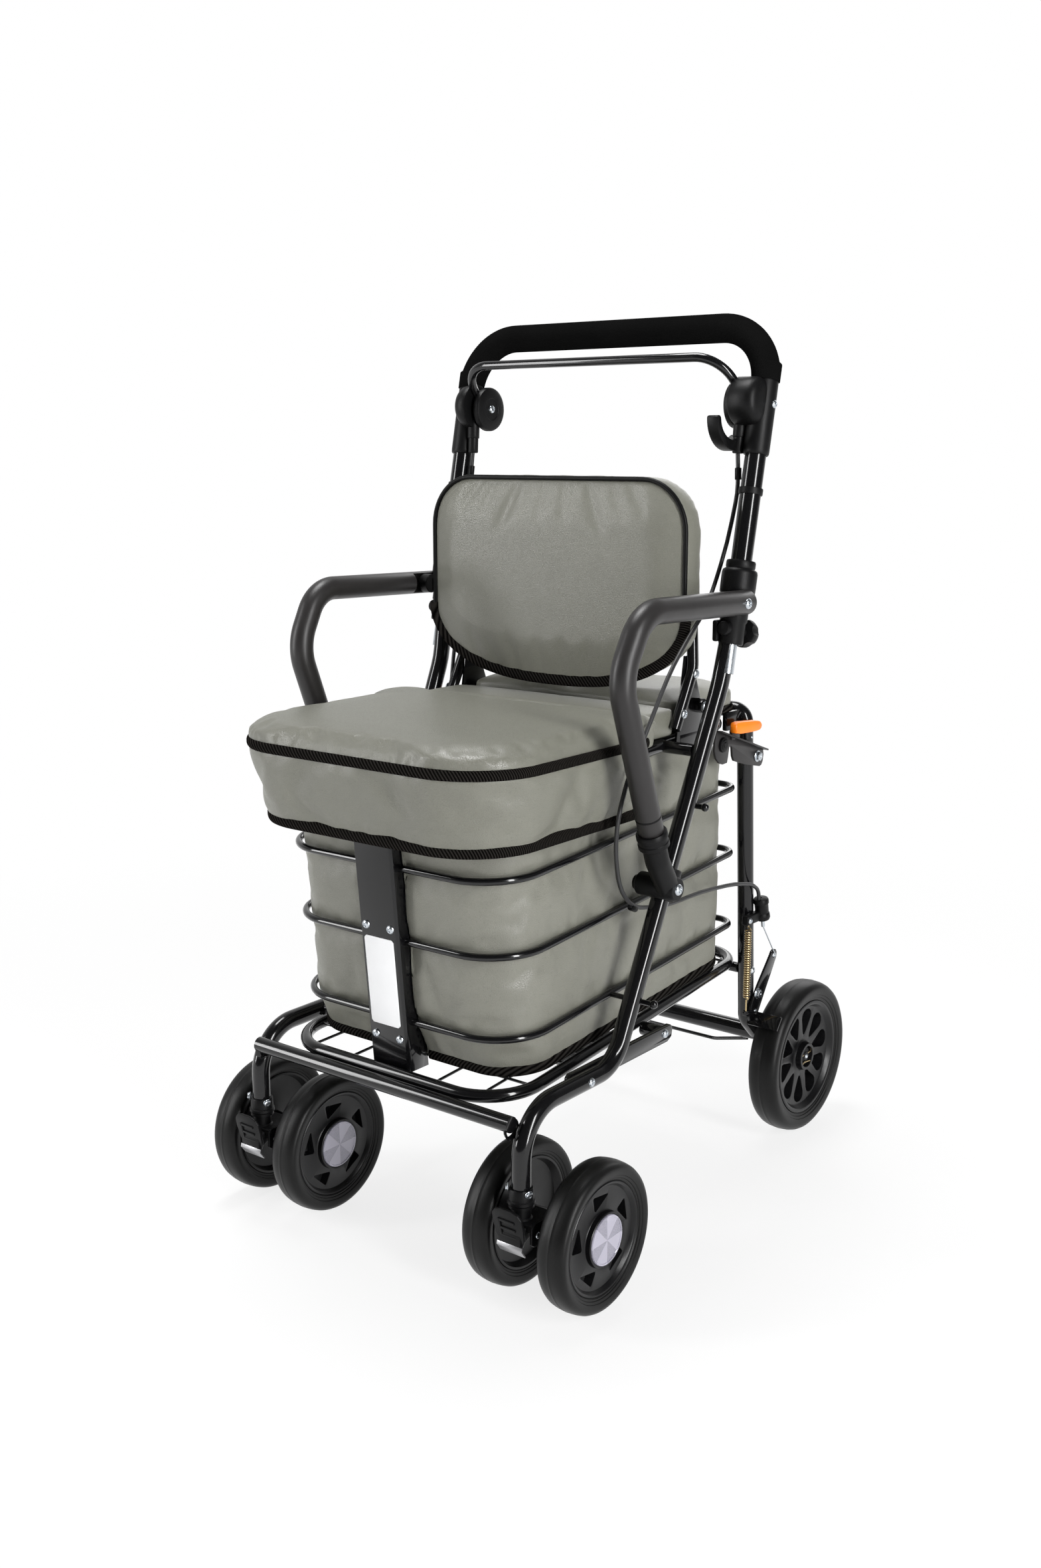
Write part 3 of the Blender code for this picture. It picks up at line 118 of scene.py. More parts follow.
# %% A recipe: any tree of nodes, filled by one method
class Recipe:
    """A node tree whose nodes are added one by one."""

    def __init__(self, tree):
        self.tree = tree

    def node(self, kind, settings, values, output=0):
        """Add a node: its settings first, then the values or links of its sockets."""
        made = self.tree.nodes.new(kind)
        for key, value in settings.items():
            if key == "stops":
                ramp = made.color_ramp
                for index, (place, tone) in enumerate(value):
                    stop = ramp.elements[index] if index < 2 else ramp.elements.new(place)
                    stop.position = place
                    stop.color = (tone, tone, tone, 1.0)
            else:
                setattr(made, key, value)
        for key, value in values.items():
            if isinstance(value, Signal):
                self.tree.links.new(value.socket, made.inputs[key])
            else:
                made.inputs[key].default_value = value
        return Signal(self, made.outputs[output])

    def math(self, operation, *numbers):
        return self.node("ShaderNodeMath", {"operation": operation}, dict(enumerate(numbers)))

    def ray(self, kind):
        return self.node("ShaderNodeLightPath", {}, {}, "Is %s Ray" % kind)

    def ramp(self, signal, *stops):
        return self.node("ShaderNodeValToRGB", {"stops": stops}, {"Fac": signal})


# %% A finish: one material and its shader
class Finish(Recipe):
    """A Principled material."""

    def __init__(self, name, slot, colour, roughness, metallic=0.0, **sockets):
        self.slot = slot
        self.material = bpy.data.materials.new(name)
        self.material.use_nodes = True
        super().__init__(self.material.node_tree)
        self.shader = self.tree.nodes["Principled BSDF"]
        self.colour = (*colour, 1.0)
        self.shader.inputs["Base Color"].default_value = self.colour
        self.shader.inputs["Roughness"].default_value = roughness
        self.shader.inputs["Metallic"].default_value = metallic
        for socket, value in sockets.items():
            self.shader.inputs[socket.replace("_", " ")].default_value = value
        self.material.diffuse_color = self.colour
        print("finish", name, "for slot", slot)

    def feed(self, socket, signal):
        self.tree.links.new(signal.socket, self.shader.inputs[socket])

    def place(self):
        """Object coordinates, which on a finished piece are metres in the walker's own frame."""
        return self.node("ShaderNodeTexCoord", {}, {}, "Object")

    def sheet_place(self):
        """The piece's own flat map, for patterns that follow its surface."""
        return self.node("ShaderNodeTexCoord", {}, {}, "UV")

    def stretched(self, vector, scale, turn=(0.0, 0.0, 0.0)):
        return self.node("ShaderNodeMapping", {}, {"Vector": vector, "Scale": scale, "Rotation": turn})

    def noise(self, vector, scale, detail=3.0, roughness=0.5):
        return self.node("ShaderNodeTexNoise", {},
                         {"Vector": vector, "Scale": scale, "Detail": detail, "Roughness": roughness})

    def cells(self, vector, scale, feature="F1", output="Distance"):
        return self.node("ShaderNodeTexVoronoi", {"feature": feature},
                         {"Vector": vector, "Scale": scale}, output)

    def tint(self, factor, first, second):
        """Blend two colours by a number."""
        return self.node("ShaderNodeMix", {"data_type": "RGBA"},
                         {0: factor, 6: (*first, 1.0), 7: (*second, 1.0)}, 2)

    def relief(self, height, depth):
        """Feed a bump whose full height is depth metres."""
        self.feed("Normal", self.node("ShaderNodeBump", {},
                                      {"Height": height, "Distance": depth, "Strength": 1.0}, "Normal"))


# %% [markdown]
# ## Floor, backdrop and lamps
# The photograph was taken in a white studio. The floor is pale paper that the camera and
# mirror rays see as nearly white, so it keeps only a faint shadow, and away from the
# walker it fades to the white of the backdrop. Gloss black paint shows only what it
# mirrors. The room behind the camera is dark, so the tubes stay black there, and tall
# narrow lamps draw a bright stripe down each of them.

# %% Floor
NEAR_GLOW, FADE_START, FADE_END = 0.80, 0.55, 1.70
bpy.ops.mesh.primitive_plane_add(size=16, location=(0, 2, 0))
floor = bpy.context.object
floor.name = "studio_floor"
paper = Finish("studio_paper", None, (0.93, 0.93, 0.93), 0.85)
from_walker = paper.node("ShaderNodeVectorMath", {"operation": "SUBTRACT"},
                         {0: paper.node("ShaderNodeTexCoord", {}, {}, "Object"), 1: (0.0, -2.0, 0.0)})
distance = paper.node("ShaderNodeVectorMath", {"operation": "LENGTH"}, {0: from_walker}, "Value")
fade = paper.node("ShaderNodeMapRange", {"interpolation_type": "SMOOTHSTEP"},
                  {"Value": distance, "From Min": FADE_START, "From Max": FADE_END, "To Min": NEAR_GLOW, "To Max": 1.0})
seen = paper.math("MAXIMUM", paper.ray("Camera"), paper.math("MAXIMUM", paper.ray("Glossy"), paper.ray("Transmission")))
glow = paper.node("ShaderNodeEmission", {}, {"Color": (1.0, 1.0, 1.0, 1.0), "Strength": 1.0})
surface = paper.node("ShaderNodeMixShader", {}, {0: seen * fade, 1: Signal(paper, paper.shader.outputs[0]), 2: glow})
paper.tree.links.new(surface.socket, paper.tree.nodes["Material Output"].inputs["Surface"])
floor.data.materials.append(paper.material)
print("floor fades to white between", FADE_START, "and", FADE_END, "m from the walker")

# %% Sky: white behind the walker, dark behind the camera
BRIGHT_SKY, DARK_SKY = 0.70, 0.08
sky = bpy.data.worlds.new("studio_sky")
bpy.context.scene.world = sky
sky.use_nodes = True
room = Recipe(sky.node_tree)
toward_dark = Vector((1.25, -1.15, 0.15)).normalized()
facing = room.node("ShaderNodeVectorMath", {"operation": "DOT_PRODUCT"},
                   {0: room.node("ShaderNodeTexCoord", {}, {}, "Generated"), 1: toward_dark}, "Value")
darkness = room.node("ShaderNodeMapRange", {"interpolation_type": "SMOOTHSTEP"},
                     {"Value": facing, "From Min": -0.80, "From Max": 0.10, "To Min": BRIGHT_SKY, "To Max": DARK_SKY})
camera_ray = room.ray("Camera")
room.tree.links.new((camera_ray + (1 - camera_ray) * darkness).socket, room.tree.nodes["Background"].inputs["Strength"])
room.tree.nodes["Background"].inputs["Color"].default_value = (1.0, 1.0, 1.0, 1.0)
print("sky strength", BRIGHT_SKY, "behind the walker and", DARK_SKY, "behind the camera")


# %% Soft boxes
def soft_box(name, place, aim, size, watts):
    """A rectangular lamp at a place, facing a point."""
    bpy.ops.object.light_add(type="AREA", location=place)
    lamp = bpy.context.object
    lamp.name = name
    lamp.data.shape = "RECTANGLE"
    lamp.data.size, lamp.data.size_y = size
    lamp.data.energy = watts
    lamp.rotation_euler = (Vector(aim) - Vector(place)).to_track_quat("-Z", "Y").to_euler()
    print(name, watts, "W at", place)


WALKER_MIDDLE = (0.0, 0.0, 0.5)
soft_box("left_strip", (-1.7, -1.9, 1.2), WALKER_MIDDLE, (0.50, 2.0), 38)
soft_box("right_strip", (2.25, -0.75, 1.1), WALKER_MIDDLE, (0.42, 2.0), 60)
soft_box("top_soft_box", (-0.4, 0.0, 2.6), WALKER_MIDDLE, (0.9, 0.9), 36)
soft_box("rear_soft_box", (-0.6, 2.3, 1.5), WALKER_MIDDLE, (1.6, 1.2), 12)

# %% [markdown]
# ## Tools for tube, sheet and turned work
# Almost everything here is made the way a workshop makes it: tube is bent, sheet is cut
# and folded, and wheels are turned. Three helpers follow those trades with Blender's own
# operators, and a fourth gives each finished piece its finish and, unless it spans two
# bodies, hands it to its body.

# %% Begin with nothing selected
def let_go():
    if bpy.context.mode != "OBJECT":
        bpy.ops.object.mode_set(mode="OBJECT")
    bpy.ops.object.select_all(action="DESELECT")


def take(piece):
    """Select one piece alone and make it active."""
    let_go()
    piece.select_set(True)
    bpy.context.view_layer.objects.active = piece
    return piece


def shape(piece):
    """Open a piece in edit mode with all of it selected."""
    take(piece)
    bpy.ops.object.mode_set(mode="EDIT")
    bpy.ops.mesh.select_mode(type="VERT")
    bpy.ops.mesh.select_all(action="SELECT")


def push(step):
    """Extrude what is selected along a vector."""
    bpy.ops.mesh.extrude_region_move(TRANSFORM_OT_translate={"value": tuple(step)})


def settle(piece):
    """Leave edit mode and put the piece's place into its mesh."""
    take(piece)
    bpy.ops.object.transform_apply(location=True, rotation=True, scale=True)
    return piece


def use(piece, kind, **values):
    """Add a modifier, set it and apply it."""
    take(piece)
    modifier = piece.modifiers.new(kind.lower(), kind)
    for key, value in values.items():
        setattr(modifier, key, value)
    bpy.ops.object.modifier_apply(modifier=modifier.name)
    return piece


# %% Hand a finished piece over
SMOOTH_ANGLE = math.radians(38)


def finished(piece, name, finish, body, node=None):
    """Name a piece, give it its finish and smooth shading, and let it ride on its body. A piece given two bodies rides
    on neither and stays where it is.
    """
    settle(piece)
    piece.name = name
    piece.data.name = name
    piece.data.materials.clear()
    piece.data.materials.append(finish.material)
    bpy.ops.object.shade_smooth_by_angle(angle=SMOOTH_ANGLE)
    if isinstance(body, tuple):
        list(body)
        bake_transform(piece)
    else:
        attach(piece, body)
    if node:
        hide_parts(node)
    print(name, "in", finish.material.name, "rides on", body if isinstance(body, str) else body[:2])
    return piece


# %% Draw out a line, or pick faces
def one_point(place):
    """A mesh of one point, open in edit mode, that a line is drawn out of."""
    let_go()
    bpy.ops.mesh.primitive_plane_add(size=0.001, location=(0, 0, 0))
    piece = bpy.context.object
    shape(piece)
    bpy.ops.mesh.merge(type="CENTER")
    bpy.ops.transform.translate(value=place)
    return piece


def pick_faces(piece, wanted):
    """Open a piece in edit mode with the faces selected that pass a test."""
    shape(piece)
    bpy.ops.mesh.select_all(action="DESELECT")
    bpy.ops.object.mode_set(mode="OBJECT")
    for face in piece.data.polygons:
        face.select = wanted(face)
    bpy.ops.object.mode_set(mode="EDIT")
    bpy.ops.mesh.select_mode(type="FACE")


def span(side, near, far):
    """Two distances from the middle plane, as a low and a high X on one side."""
    return sorted((side * near, side * far))


# %% Bend tube
def corner_arc(before, corner, after, bend):
    """Where a bend of the given radius starts, its centre, its axis and how far it turns."""
    back = (before - corner).normalized()
    ahead = (after - corner).normalized()
    turn = math.pi - back.angle(ahead)
    reach = bend * math.tan(turn / 2)
    middle = corner + (back + ahead).normalized() * bend / math.cos(turn / 2)
    axis = back.cross(ahead).normalized()
    return corner + back * reach, corner + ahead * reach, middle, axis, turn


def bend_tube(corners, bends, radius, sides=24, closed=False, arc_step=0.13):
    """Push a ring of points along straight runs and spin it round each corner."""
    corners = [Vector(corner) for corner in corners]
    if closed:
        start = (corners[0] + corners[-1]) / 2
        corners = [start, *corners, start]
        bends = [0, *bends, 0]
    let_go()
    heading = (corners[1] - corners[0]).to_track_quat("Z", "Y").to_euler()
    bpy.ops.mesh.primitive_circle_add(
        vertices=sides, radius=radius, fill_type="NOTHING", location=corners[0], rotation=heading)
    piece = bpy.context.object
    shape(piece)
    place = corners[0]
    for index in range(1, len(corners) - 1):
        first, last, middle, axis, turn = corner_arc(
            corners[index - 1], corners[index], corners[index + 1], bends[index])
        if (first - place).length > 1e-6:
            push(first - place)
        steps = max(2, round(turn / arc_step))
        bpy.ops.mesh.spin(steps=steps, angle=turn, center=middle, axis=axis)
        place = last
    push(corners[-1] - place)
    bpy.ops.mesh.select_all(action="SELECT")
    if closed:
        bpy.ops.mesh.remove_doubles(threshold=0.0002)
    else:
        bpy.ops.mesh.fill_holes(sides=0)
    bpy.ops.mesh.normals_make_consistent(inside=False)
    return settle(piece)


# %% Straight rod
def rod(start, end, radius, sides=24, rim=0.0):
    """A straight bar with a small round on its rims."""
    start, end = Vector(start), Vector(end)
    let_go()
    heading = (end - start).to_track_quat("Z", "Y").to_euler()
    bpy.ops.mesh.primitive_cone_add(
        vertices=sides, radius1=radius, radius2=radius, depth=(end - start).length,
        location=(start + end) / 2, rotation=heading)
    piece = settle(bpy.context.object)
    if rim:
        use(piece, "BEVEL", width=rim, segments=2, limit_method="ANGLE", angle_limit=math.radians(50))
    return piece


# %% Turn a profile on a lathe
def turned(profile, centre=(0, 0, 0), direction=(0, 0, 1), steps=64):
    """Draw a half section of (radius, height) points, and screw it round an axis."""
    here = Vector((profile[0][0], 0, profile[0][1]))
    piece = one_point(here)
    for radius, height in profile[1:]:
        there = Vector((radius, 0, height))
        push(there - here)
        here = there
    if profile[0][0] > 0:
        bpy.ops.mesh.select_all(action="DESELECT")
        bpy.ops.object.mode_set(mode="OBJECT")
        piece.data.vertices[0].select = True
        piece.data.vertices[len(profile) - 1].select = True
        bpy.ops.object.mode_set(mode="EDIT")
        bpy.ops.mesh.edge_face_add()
    use(piece, "SCREW", steps=steps, render_steps=steps, use_merge_vertices=True, merge_threshold=0.00002,
        use_smooth_shade=True)
    shape(piece)
    bpy.ops.mesh.normals_make_consistent(inside=False)
    bpy.ops.object.mode_set(mode="OBJECT")
    piece.location = centre
    piece.rotation_euler = Vector(direction).to_track_quat("Z", "Y").to_euler()
    return settle(piece)


# %% Cut sheet to an outline
def cut_sheet(outline, low, high, rim=0.0004, plane="YZ"):
    """Extrude a flat outline between two depths, and round its edges."""
    order = {"YZ": (1, 2, 0), "XZ": (0, 2, 1), "XY": (0, 1, 2)}[plane]
    places = []
    for first, second in outline:
        place = [0.0, 0.0, 0.0]
        place[order[0]], place[order[1]], place[order[2]] = first, second, low
        places.append(Vector(place))
    piece = one_point(places[0])
    for before, after in zip(places, places[1:]):
        push(after - before)
    bpy.ops.mesh.select_all(action="SELECT")
    bpy.ops.mesh.edge_face_add()
    step = [0.0, 0.0, 0.0]
    step[order[2]] = high - low
    push(step)
    bpy.ops.mesh.select_all(action="SELECT")
    bpy.ops.mesh.normals_make_consistent(inside=False)
    settle(piece)
    if rim:
        use(piece, "BEVEL", width=rim, segments=2, limit_method="ANGLE", angle_limit=math.radians(30))
    return piece


# %% Rounded block
def block(low, high, rim=0.0005, segments=2):
    """A box between two corners with rounded edges."""
    low, high = Vector(low), Vector(high)
    let_go()
    bpy.ops.mesh.primitive_cube_add(size=1, location=(low + high) / 2, scale=high - low)
    piece = settle(bpy.context.object)
    return use(piece, "BEVEL", width=rim, segments=segments)


# %% Join, cut and copy
def weld_on(piece, *others):
    """Join other meshes into a piece without changing them."""
    take(piece)
    for other in others:
        other.select_set(True)
    bpy.ops.object.join()
    return piece


def cut_out(piece, cutter):
    """Take a cutter's shape away from a piece."""
    use(piece, "BOOLEAN", operation="DIFFERENCE", solver="EXACT", object=cutter)
    bpy.data.objects.remove(cutter, do_unlink=True)
    return piece


def copy_of(piece, matrix=None):
    """A copy with its own mesh, moved by a matrix."""
    twin = piece.copy()
    twin.data = piece.data.copy()
    bpy.context.collection.objects.link(twin)
    if matrix is not None:
        twin.data.transform(matrix)
    return twin


def mirrored(piece):
    """The same piece for the walker's left side."""
    twin = copy_of(piece, Matrix.Scale(-1, 4, (1, 0, 0)))
    shape(twin)
    bpy.ops.mesh.flip_normals()
    let_go()
    return twin


def discard(*pieces):
    for piece in pieces:
        bpy.data.objects.remove(piece, do_unlink=True)

# %% [markdown]
# ## Gloss black paint
# Powder coat on tube is smooth but never flat: it keeps a faint orange-peel ripple, and
# handling leaves it a little duller in patches. A clear coat over near-black gives the
# hard white stripes, and noise at two sizes moves the roughness and the ripple.

# %% Gloss paint
gloss_paint = Finish("gloss_black_paint_finish", "gloss_black_paint", (0.004, 0.004, 0.0045), 0.16,
                     Specular_IOR_Level=0.25, Coat_Weight=0.5, Coat_Roughness=0.05)
handling = gloss_paint.noise(gloss_paint.place(), 22.0, 4.0)
gloss_paint.feed("Roughness", 0.10 + 0.14 * handling)
gloss_paint.relief(gloss_paint.noise(gloss_paint.place(), 200.0, 1.0), 0.000004)

# %% [markdown]
# ## Satin charcoal paint
# The armrests, the front channel and the latch plates have a softer, greyer coat with a
# fine sand texture. It shows broad dull highlights, and its tone drifts slightly.

# %% Satin paint
satin_paint = Finish("charcoal_paint_finish", "charcoal_paint", (0.026, 0.025, 0.026), 0.40, Specular_IOR_Level=0.4)
drift = satin_paint.noise(satin_paint.place(), 9.0, 3.0)
satin_paint.feed("Base Color", satin_paint.tint(drift, (0.014, 0.013, 0.013), (0.024, 0.022, 0.022)))
satin_paint.feed("Roughness", 0.32 + 0.12 * satin_paint.noise(satin_paint.place(), 60.0, 4.0))
satin_paint.relief(satin_paint.noise(satin_paint.place(), 2600.0, 2.0), 0.00004)

# %% [markdown]
# ## Moulded plastics
# Brackets, housings and knobs are moulded with a spark-eroded skin, a fine even stipple.
# The wheel discs are the same plastic from a polished mould, so they are glossier.

# %% Stippled plastic
plastic = Finish("black_plastic_finish", "black_plastic", (0.004, 0.004, 0.0043), 0.40, Specular_IOR_Level=0.18)
stipple = plastic.cells(plastic.place(), 1500.0)
plastic.relief(stipple, 0.00006)
plastic.feed("Roughness", 0.34 + 0.16 * plastic.noise(plastic.place(), 35.0, 4.0))

# %% Polished plastic of the wheel discs
disc_plastic = Finish("hub_plastic_finish", "hub_plastic", (0.0045, 0.0045, 0.005), 0.24, Specular_IOR_Level=0.3)
scuff = disc_plastic.noise(disc_plastic.place(), 140.0, 6.0, 0.7)
disc_plastic.feed("Roughness", 0.22 + 0.18 * scuff)
disc_plastic.relief(disc_plastic.noise(disc_plastic.place(), 700.0, 2.0), 0.000008)

# %% [markdown]
# ## Tyre rubber
# Solid tyres come from the mould with a waxy, slightly blotchy bloom. Dust settles into
# the pores, so colour and roughness move together with one noise.

# %% Tyre rubber
tyre_rubber = Finish("tyre_rubber_finish", "tyre_rubber", (0.005, 0.005, 0.005), 0.45, Specular_IOR_Level=0.22)
bloom = tyre_rubber.noise(tyre_rubber.place(), 28.0, 5.0, 0.6)
tyre_rubber.feed("Base Color", tyre_rubber.tint(bloom, (0.003, 0.003, 0.003), (0.008, 0.008, 0.008)))
tyre_rubber.feed("Roughness", 0.32 + 0.14 * bloom)
tyre_rubber.relief(tyre_rubber.noise(tyre_rubber.place(), 1800.0, 3.0), 0.00003)

# %% [markdown]
# ## Foam grip
# The grip is closed-cell foam: dead matt, with tiny open cells on its cut skin. Voronoi
# cells at a fifth of a millimetre make the pores, and it reflects nothing at all.

# %% Foam
grip_foam = Finish("foam_finish", "foam", (0.005, 0.005, 0.005), 0.92, Specular_IOR_Level=0.0)
pores = grip_foam.cells(grip_foam.place(), 1400.0)
grip_foam.relief(pores, 0.00022)
rubbed = grip_foam.noise(grip_foam.place(), 16.0, 3.0)
grip_foam.feed("Base Color", grip_foam.tint(rubbed, (0.004, 0.004, 0.004), (0.007, 0.007, 0.007)))

# %% [markdown]
# ## Grey-green vinyl
# Upholstery vinyl is pressed with a leather grain: small flat pebbles between fine
# creases. Voronoi distance to edge gives the pebbles, a broad noise makes the sheet
# ripple, and the creases are duller than the pebbles and a touch darker with painted shade.

# %% Vinyl
VINYL_PEBBLES = 620.0


def vinyl(name, light, dark, roughness):
    made = Finish(name, "grey_vinyl", light, roughness, Specular_IOR_Level=0.7)
    wander = made.noise(made.place(), 90.0, 2.0)
    bent = made.node("ShaderNodeVectorMath", {"operation": "ADD"},
                     {0: made.place(), 1: made.node("ShaderNodeVectorMath", {"operation": "SCALE"},
                                                    {0: wander, "Scale": 0.002})})
    creases = made.cells(bent, VINYL_PEBBLES, "DISTANCE_TO_EDGE")
    pebble = made.ramp(creases, (0.0, 0.0), (0.10, 0.75), (0.45, 1.0))
    ripple = made.noise(made.place(), 26.0, 3.0, 0.45)
    broad = made.noise(made.place(), 6.0, 2.0)
    # The pebble term paints shade into the creases; the ripple and broad terms are random tone.
    made.feed("Base Color", made.tint(0.55 * pebble + 0.25 * ripple + 0.2 * broad, dark, light))
    made.feed("Roughness", roughness + 0.12 - 0.14 * pebble + 0.06 * broad)
    made.relief(pebble * 0.35 + ripple * 0.65, 0.00045)
    return made


seat_vinyl = vinyl("grey_vinyl_finish", (0.194, 0.194, 0.159), (0.130, 0.130, 0.106), 0.32)
bag_vinyl = vinyl("bag_vinyl_finish", (0.218, 0.217, 0.182), (0.150, 0.150, 0.124), 0.36)

# %% [markdown]
# ## Black piping, tape and thread
# Piping is a cord wrapped in shiny black vinyl. The edging tape is woven, with slanting
# ribs that run along its own length, so its pattern follows the tape's flat map, and the
# grooves between the ribs are darker with painted shade.

# %% Piping
piping = Finish("piping_finish", "grey_vinyl", (0.004, 0.004, 0.004), 0.38, Specular_IOR_Level=0.12)
piping.relief(piping.noise(piping.place(), 500.0, 3.0), 0.00008)
piping.feed("Roughness", 0.30 + 0.22 * piping.noise(piping.place(), 70.0, 3.0))

# %% Woven edging tape
RIB_PITCH = 0.0034
edging = Finish("edging_tape_finish", "grey_vinyl", (0.008, 0.007, 0.006), 0.80, Specular_IOR_Level=0.0)
ribs = edging.node("ShaderNodeTexWave", {"wave_type": "BANDS", "bands_direction": "X"},
                   {"Vector": edging.stretched(edging.sheet_place(), (1.0, 1.0, 1.0), (0, 0, math.radians(38))),
                    "Scale": math.pi / RIB_PITCH / 10, "Distortion": 0.3, "Detail": 1.0}, "Fac")
edging.relief(ribs, 0.0009)
# Painted shade: the colour follows the rib height, so the grooves between ribs are darker.
edging.feed("Base Color", edging.tint(ribs, (0.0015, 0.0013, 0.0012), (0.024, 0.022, 0.020)))

# %% [markdown]
# ## Metals
# Screws are zinc plated and look pale blue-white. Springs keep a yellow zinc tint, the
# clips are brass coloured, and the pedal's plate is bare rolled steel with a grain.

# %% Zinc plate
zinc = Finish("zinc_plate_finish", "black_plastic", (0.62, 0.66, 0.70), 0.26, 1.0)
zinc.feed("Roughness", 0.18 + 0.22 * zinc.noise(zinc.place(), 420.0, 4.0))

# %% Spring wire
spring_wire = Finish("brass_wire_finish", "brass_wire", (0.62, 0.49, 0.27), 0.30, 1.0)
tarnish = spring_wire.noise(spring_wire.place(), 260.0, 4.0)
spring_wire.feed("Base Color", spring_wire.tint(tarnish, (0.66, 0.54, 0.32), (0.46, 0.33, 0.16)))
spring_wire.feed("Roughness", 0.22 + 0.20 * tarnish)

# %% Rolled steel plate
rolled_steel = Finish("rolled_steel_finish", "black_plastic", (0.42, 0.42, 0.43), 0.38, 1.0)
grain = rolled_steel.noise(rolled_steel.stretched(rolled_steel.place(), (0.05, 1.0, 1.0)), 1600.0, 3.0)
rolled_steel.feed("Roughness", 0.28 + 0.24 * grain)
rolled_steel.relief(grain, 0.00003)

# %% [markdown]
# ## Small coloured pieces
# The release tabs are bright orange plastic, the plate on the channel is a bare white
# label, and each caster has a clear reflector pressed with fine wedges.

# %% Orange plastic
orange = Finish("orange_plastic_finish", "orange_plastic", (1.0, 0.235, 0.008), 0.36)
orange.feed("Base Color", orange.tint(orange.noise(orange.place(), 60.0, 3.0),
                                      (1.0, 0.25, 0.010), (0.93, 0.195, 0.005)))
orange.relief(orange.cells(orange.place(), 1800.0), 0.00004)

# %% Bare white label
label_film = Finish("white_label_finish", "white_label", (0.86, 0.865, 0.875), 0.34)
label_film.feed("Base Color", label_film.tint(label_film.noise(label_film.place(), 40.0, 3.0),
                                              (0.87, 0.875, 0.885), (0.82, 0.825, 0.835)))
label_film.relief(label_film.noise(label_film.place(), 300.0, 2.0), 0.00002)

# %% Cable sheath
sheath = Finish("cable_sleeve_finish", "cable_sleeve", (0.020, 0.020, 0.021), 0.36)
sheath.feed("Roughness", 0.30 + 0.16 * sheath.noise(sheath.place(), 120.0, 3.0))
sheath.relief(sheath.noise(sheath.place(), 1500.0, 2.0), 0.00003)

# %% Reflector: eight wedges, alternately plain and finely studded, with painted highlights
reflector = Finish("reflector_finish", "hub_plastic", (0.42, 0.42, 0.50), 0.16, Coat_Weight=0.8,
                   Coat_Roughness=0.04)
flat_x = reflector.node("ShaderNodeSeparateXYZ", {}, {"Vector": reflector.sheet_place()}, "X")
flat_y = reflector.node("ShaderNodeSeparateXYZ", {}, {"Vector": reflector.sheet_place()}, "Y")
bearing = reflector.math("ARCTAN2", flat_y - 0.5, flat_x - 0.5)
wedge = reflector.math("SINE", bearing * 4.0)
studs = reflector.cells(reflector.sheet_place(), 44.0, "DISTANCE_TO_EDGE")
studded = wedge.above(0.0)
seam = reflector.math("LESS_THAN", wedge.size(), 0.07)
# Painted highlight and shade: each stud is lighter at its centre and darker at its edge, and the seams between wedges
# get a painted highlight.
stud_highlight_and_shade = reflector.ramp(studs, (0.0, 0.25), (0.35, 1.0))
tone = studded * stud_highlight_and_shade * 0.50 + (1 - studded) * 0.60 + seam * 0.25
reflector.feed("Base Color", reflector.tint(tone, (0.15, 0.145, 0.19), (0.52, 0.50, 0.60)))
reflector.relief(studded * studs + seam * 0.3, 0.0004)
print("finishes:", len([m for m in bpy.data.materials if m.name.endswith("_finish")]))

# %% [markdown]
# ## Lines that the pieces share
# The side tubes lean back above the seat, and the collars, the handle and its housings
# all sit on that one slanted line. Naming it once keeps every piece on it.

# %% Shared lines
SIDES = (("left", -1), ("right", 1))
UPPER_X, UPPER_Y, UPPER_Z, UPPER_SLOPE = 0.196, 0.0165, 0.575, 0.21256
CASTER_X, CASTER_Y, CASTER_TRAIL, STEM_FOOT = 0.177, -0.3015, 0.0555, 0.118
FACE_TOP, FACE_SLOPE = (-0.3159, 0.489), 0.0972
LEAN = Matrix(((1, 0, 0, 0), (0, 1, -FACE_SLOPE, FACE_TOP[0] + FACE_TOP[1] * FACE_SLOPE), (0, 0, 1, 0),
               (0, 0, 0, 1)))
KNEE = Vector((0.178, -0.152, 0.207))
SHOULDER = Vector((0.190, UPPER_Y, UPPER_Z))
SIDE_TUBE = 0.0095
UPPER_DIRECTION = Vector((0, UPPER_SLOPE, 1)).normalized()
UPPER_BACK = Vector((0, UPPER_DIRECTION.z, -UPPER_DIRECTION.y))


def upper(side, z):
    return Vector((side * UPPER_X, UPPER_Y + (z - UPPER_Z) * UPPER_SLOPE, z))


def front_face(z):
    """y of the front channel's face, which slopes rearward toward the floor."""
    return FACE_TOP[0] + (FACE_TOP[1] - z) * FACE_SLOPE


def lower(side, z):
    point = KNEE.lerp(SHOULDER, (z - KNEE.z) / (SHOULDER.z - KNEE.z))
    return Vector((side * point.x, point.y, point.z))


print("upper line leans back", round(math.degrees(math.atan(UPPER_SLOPE)), 1), "degrees")

# %% [markdown]
# ## Screws, rivets and welds
# The same few fasteners appear all over the walker. Each is modelled once, a hex bolt on
# a washer, a domed rivet and a pan head screw with a cross, and is then copied into place
# with a little turn of its own, so that no two heads line up.

# %% Cross for a pan head
def stamped_cross(radius, depth):
    """A cross-shaped cutter for the recess in a pan head."""
    arm = radius * 0.16
    first = block((-radius * 0.55, -arm, -depth), (radius * 0.55, arm, depth), rim=arm * 0.3, segments=1)
    second = block((-arm, -radius * 0.55, -depth), (arm, radius * 0.55, depth), rim=arm * 0.3, segments=1)
    return fused(first, second)


def fused(piece, other):
    use(piece, "BOOLEAN", operation="UNION", solver="EXACT", object=other)
    discard(other)
    return piece


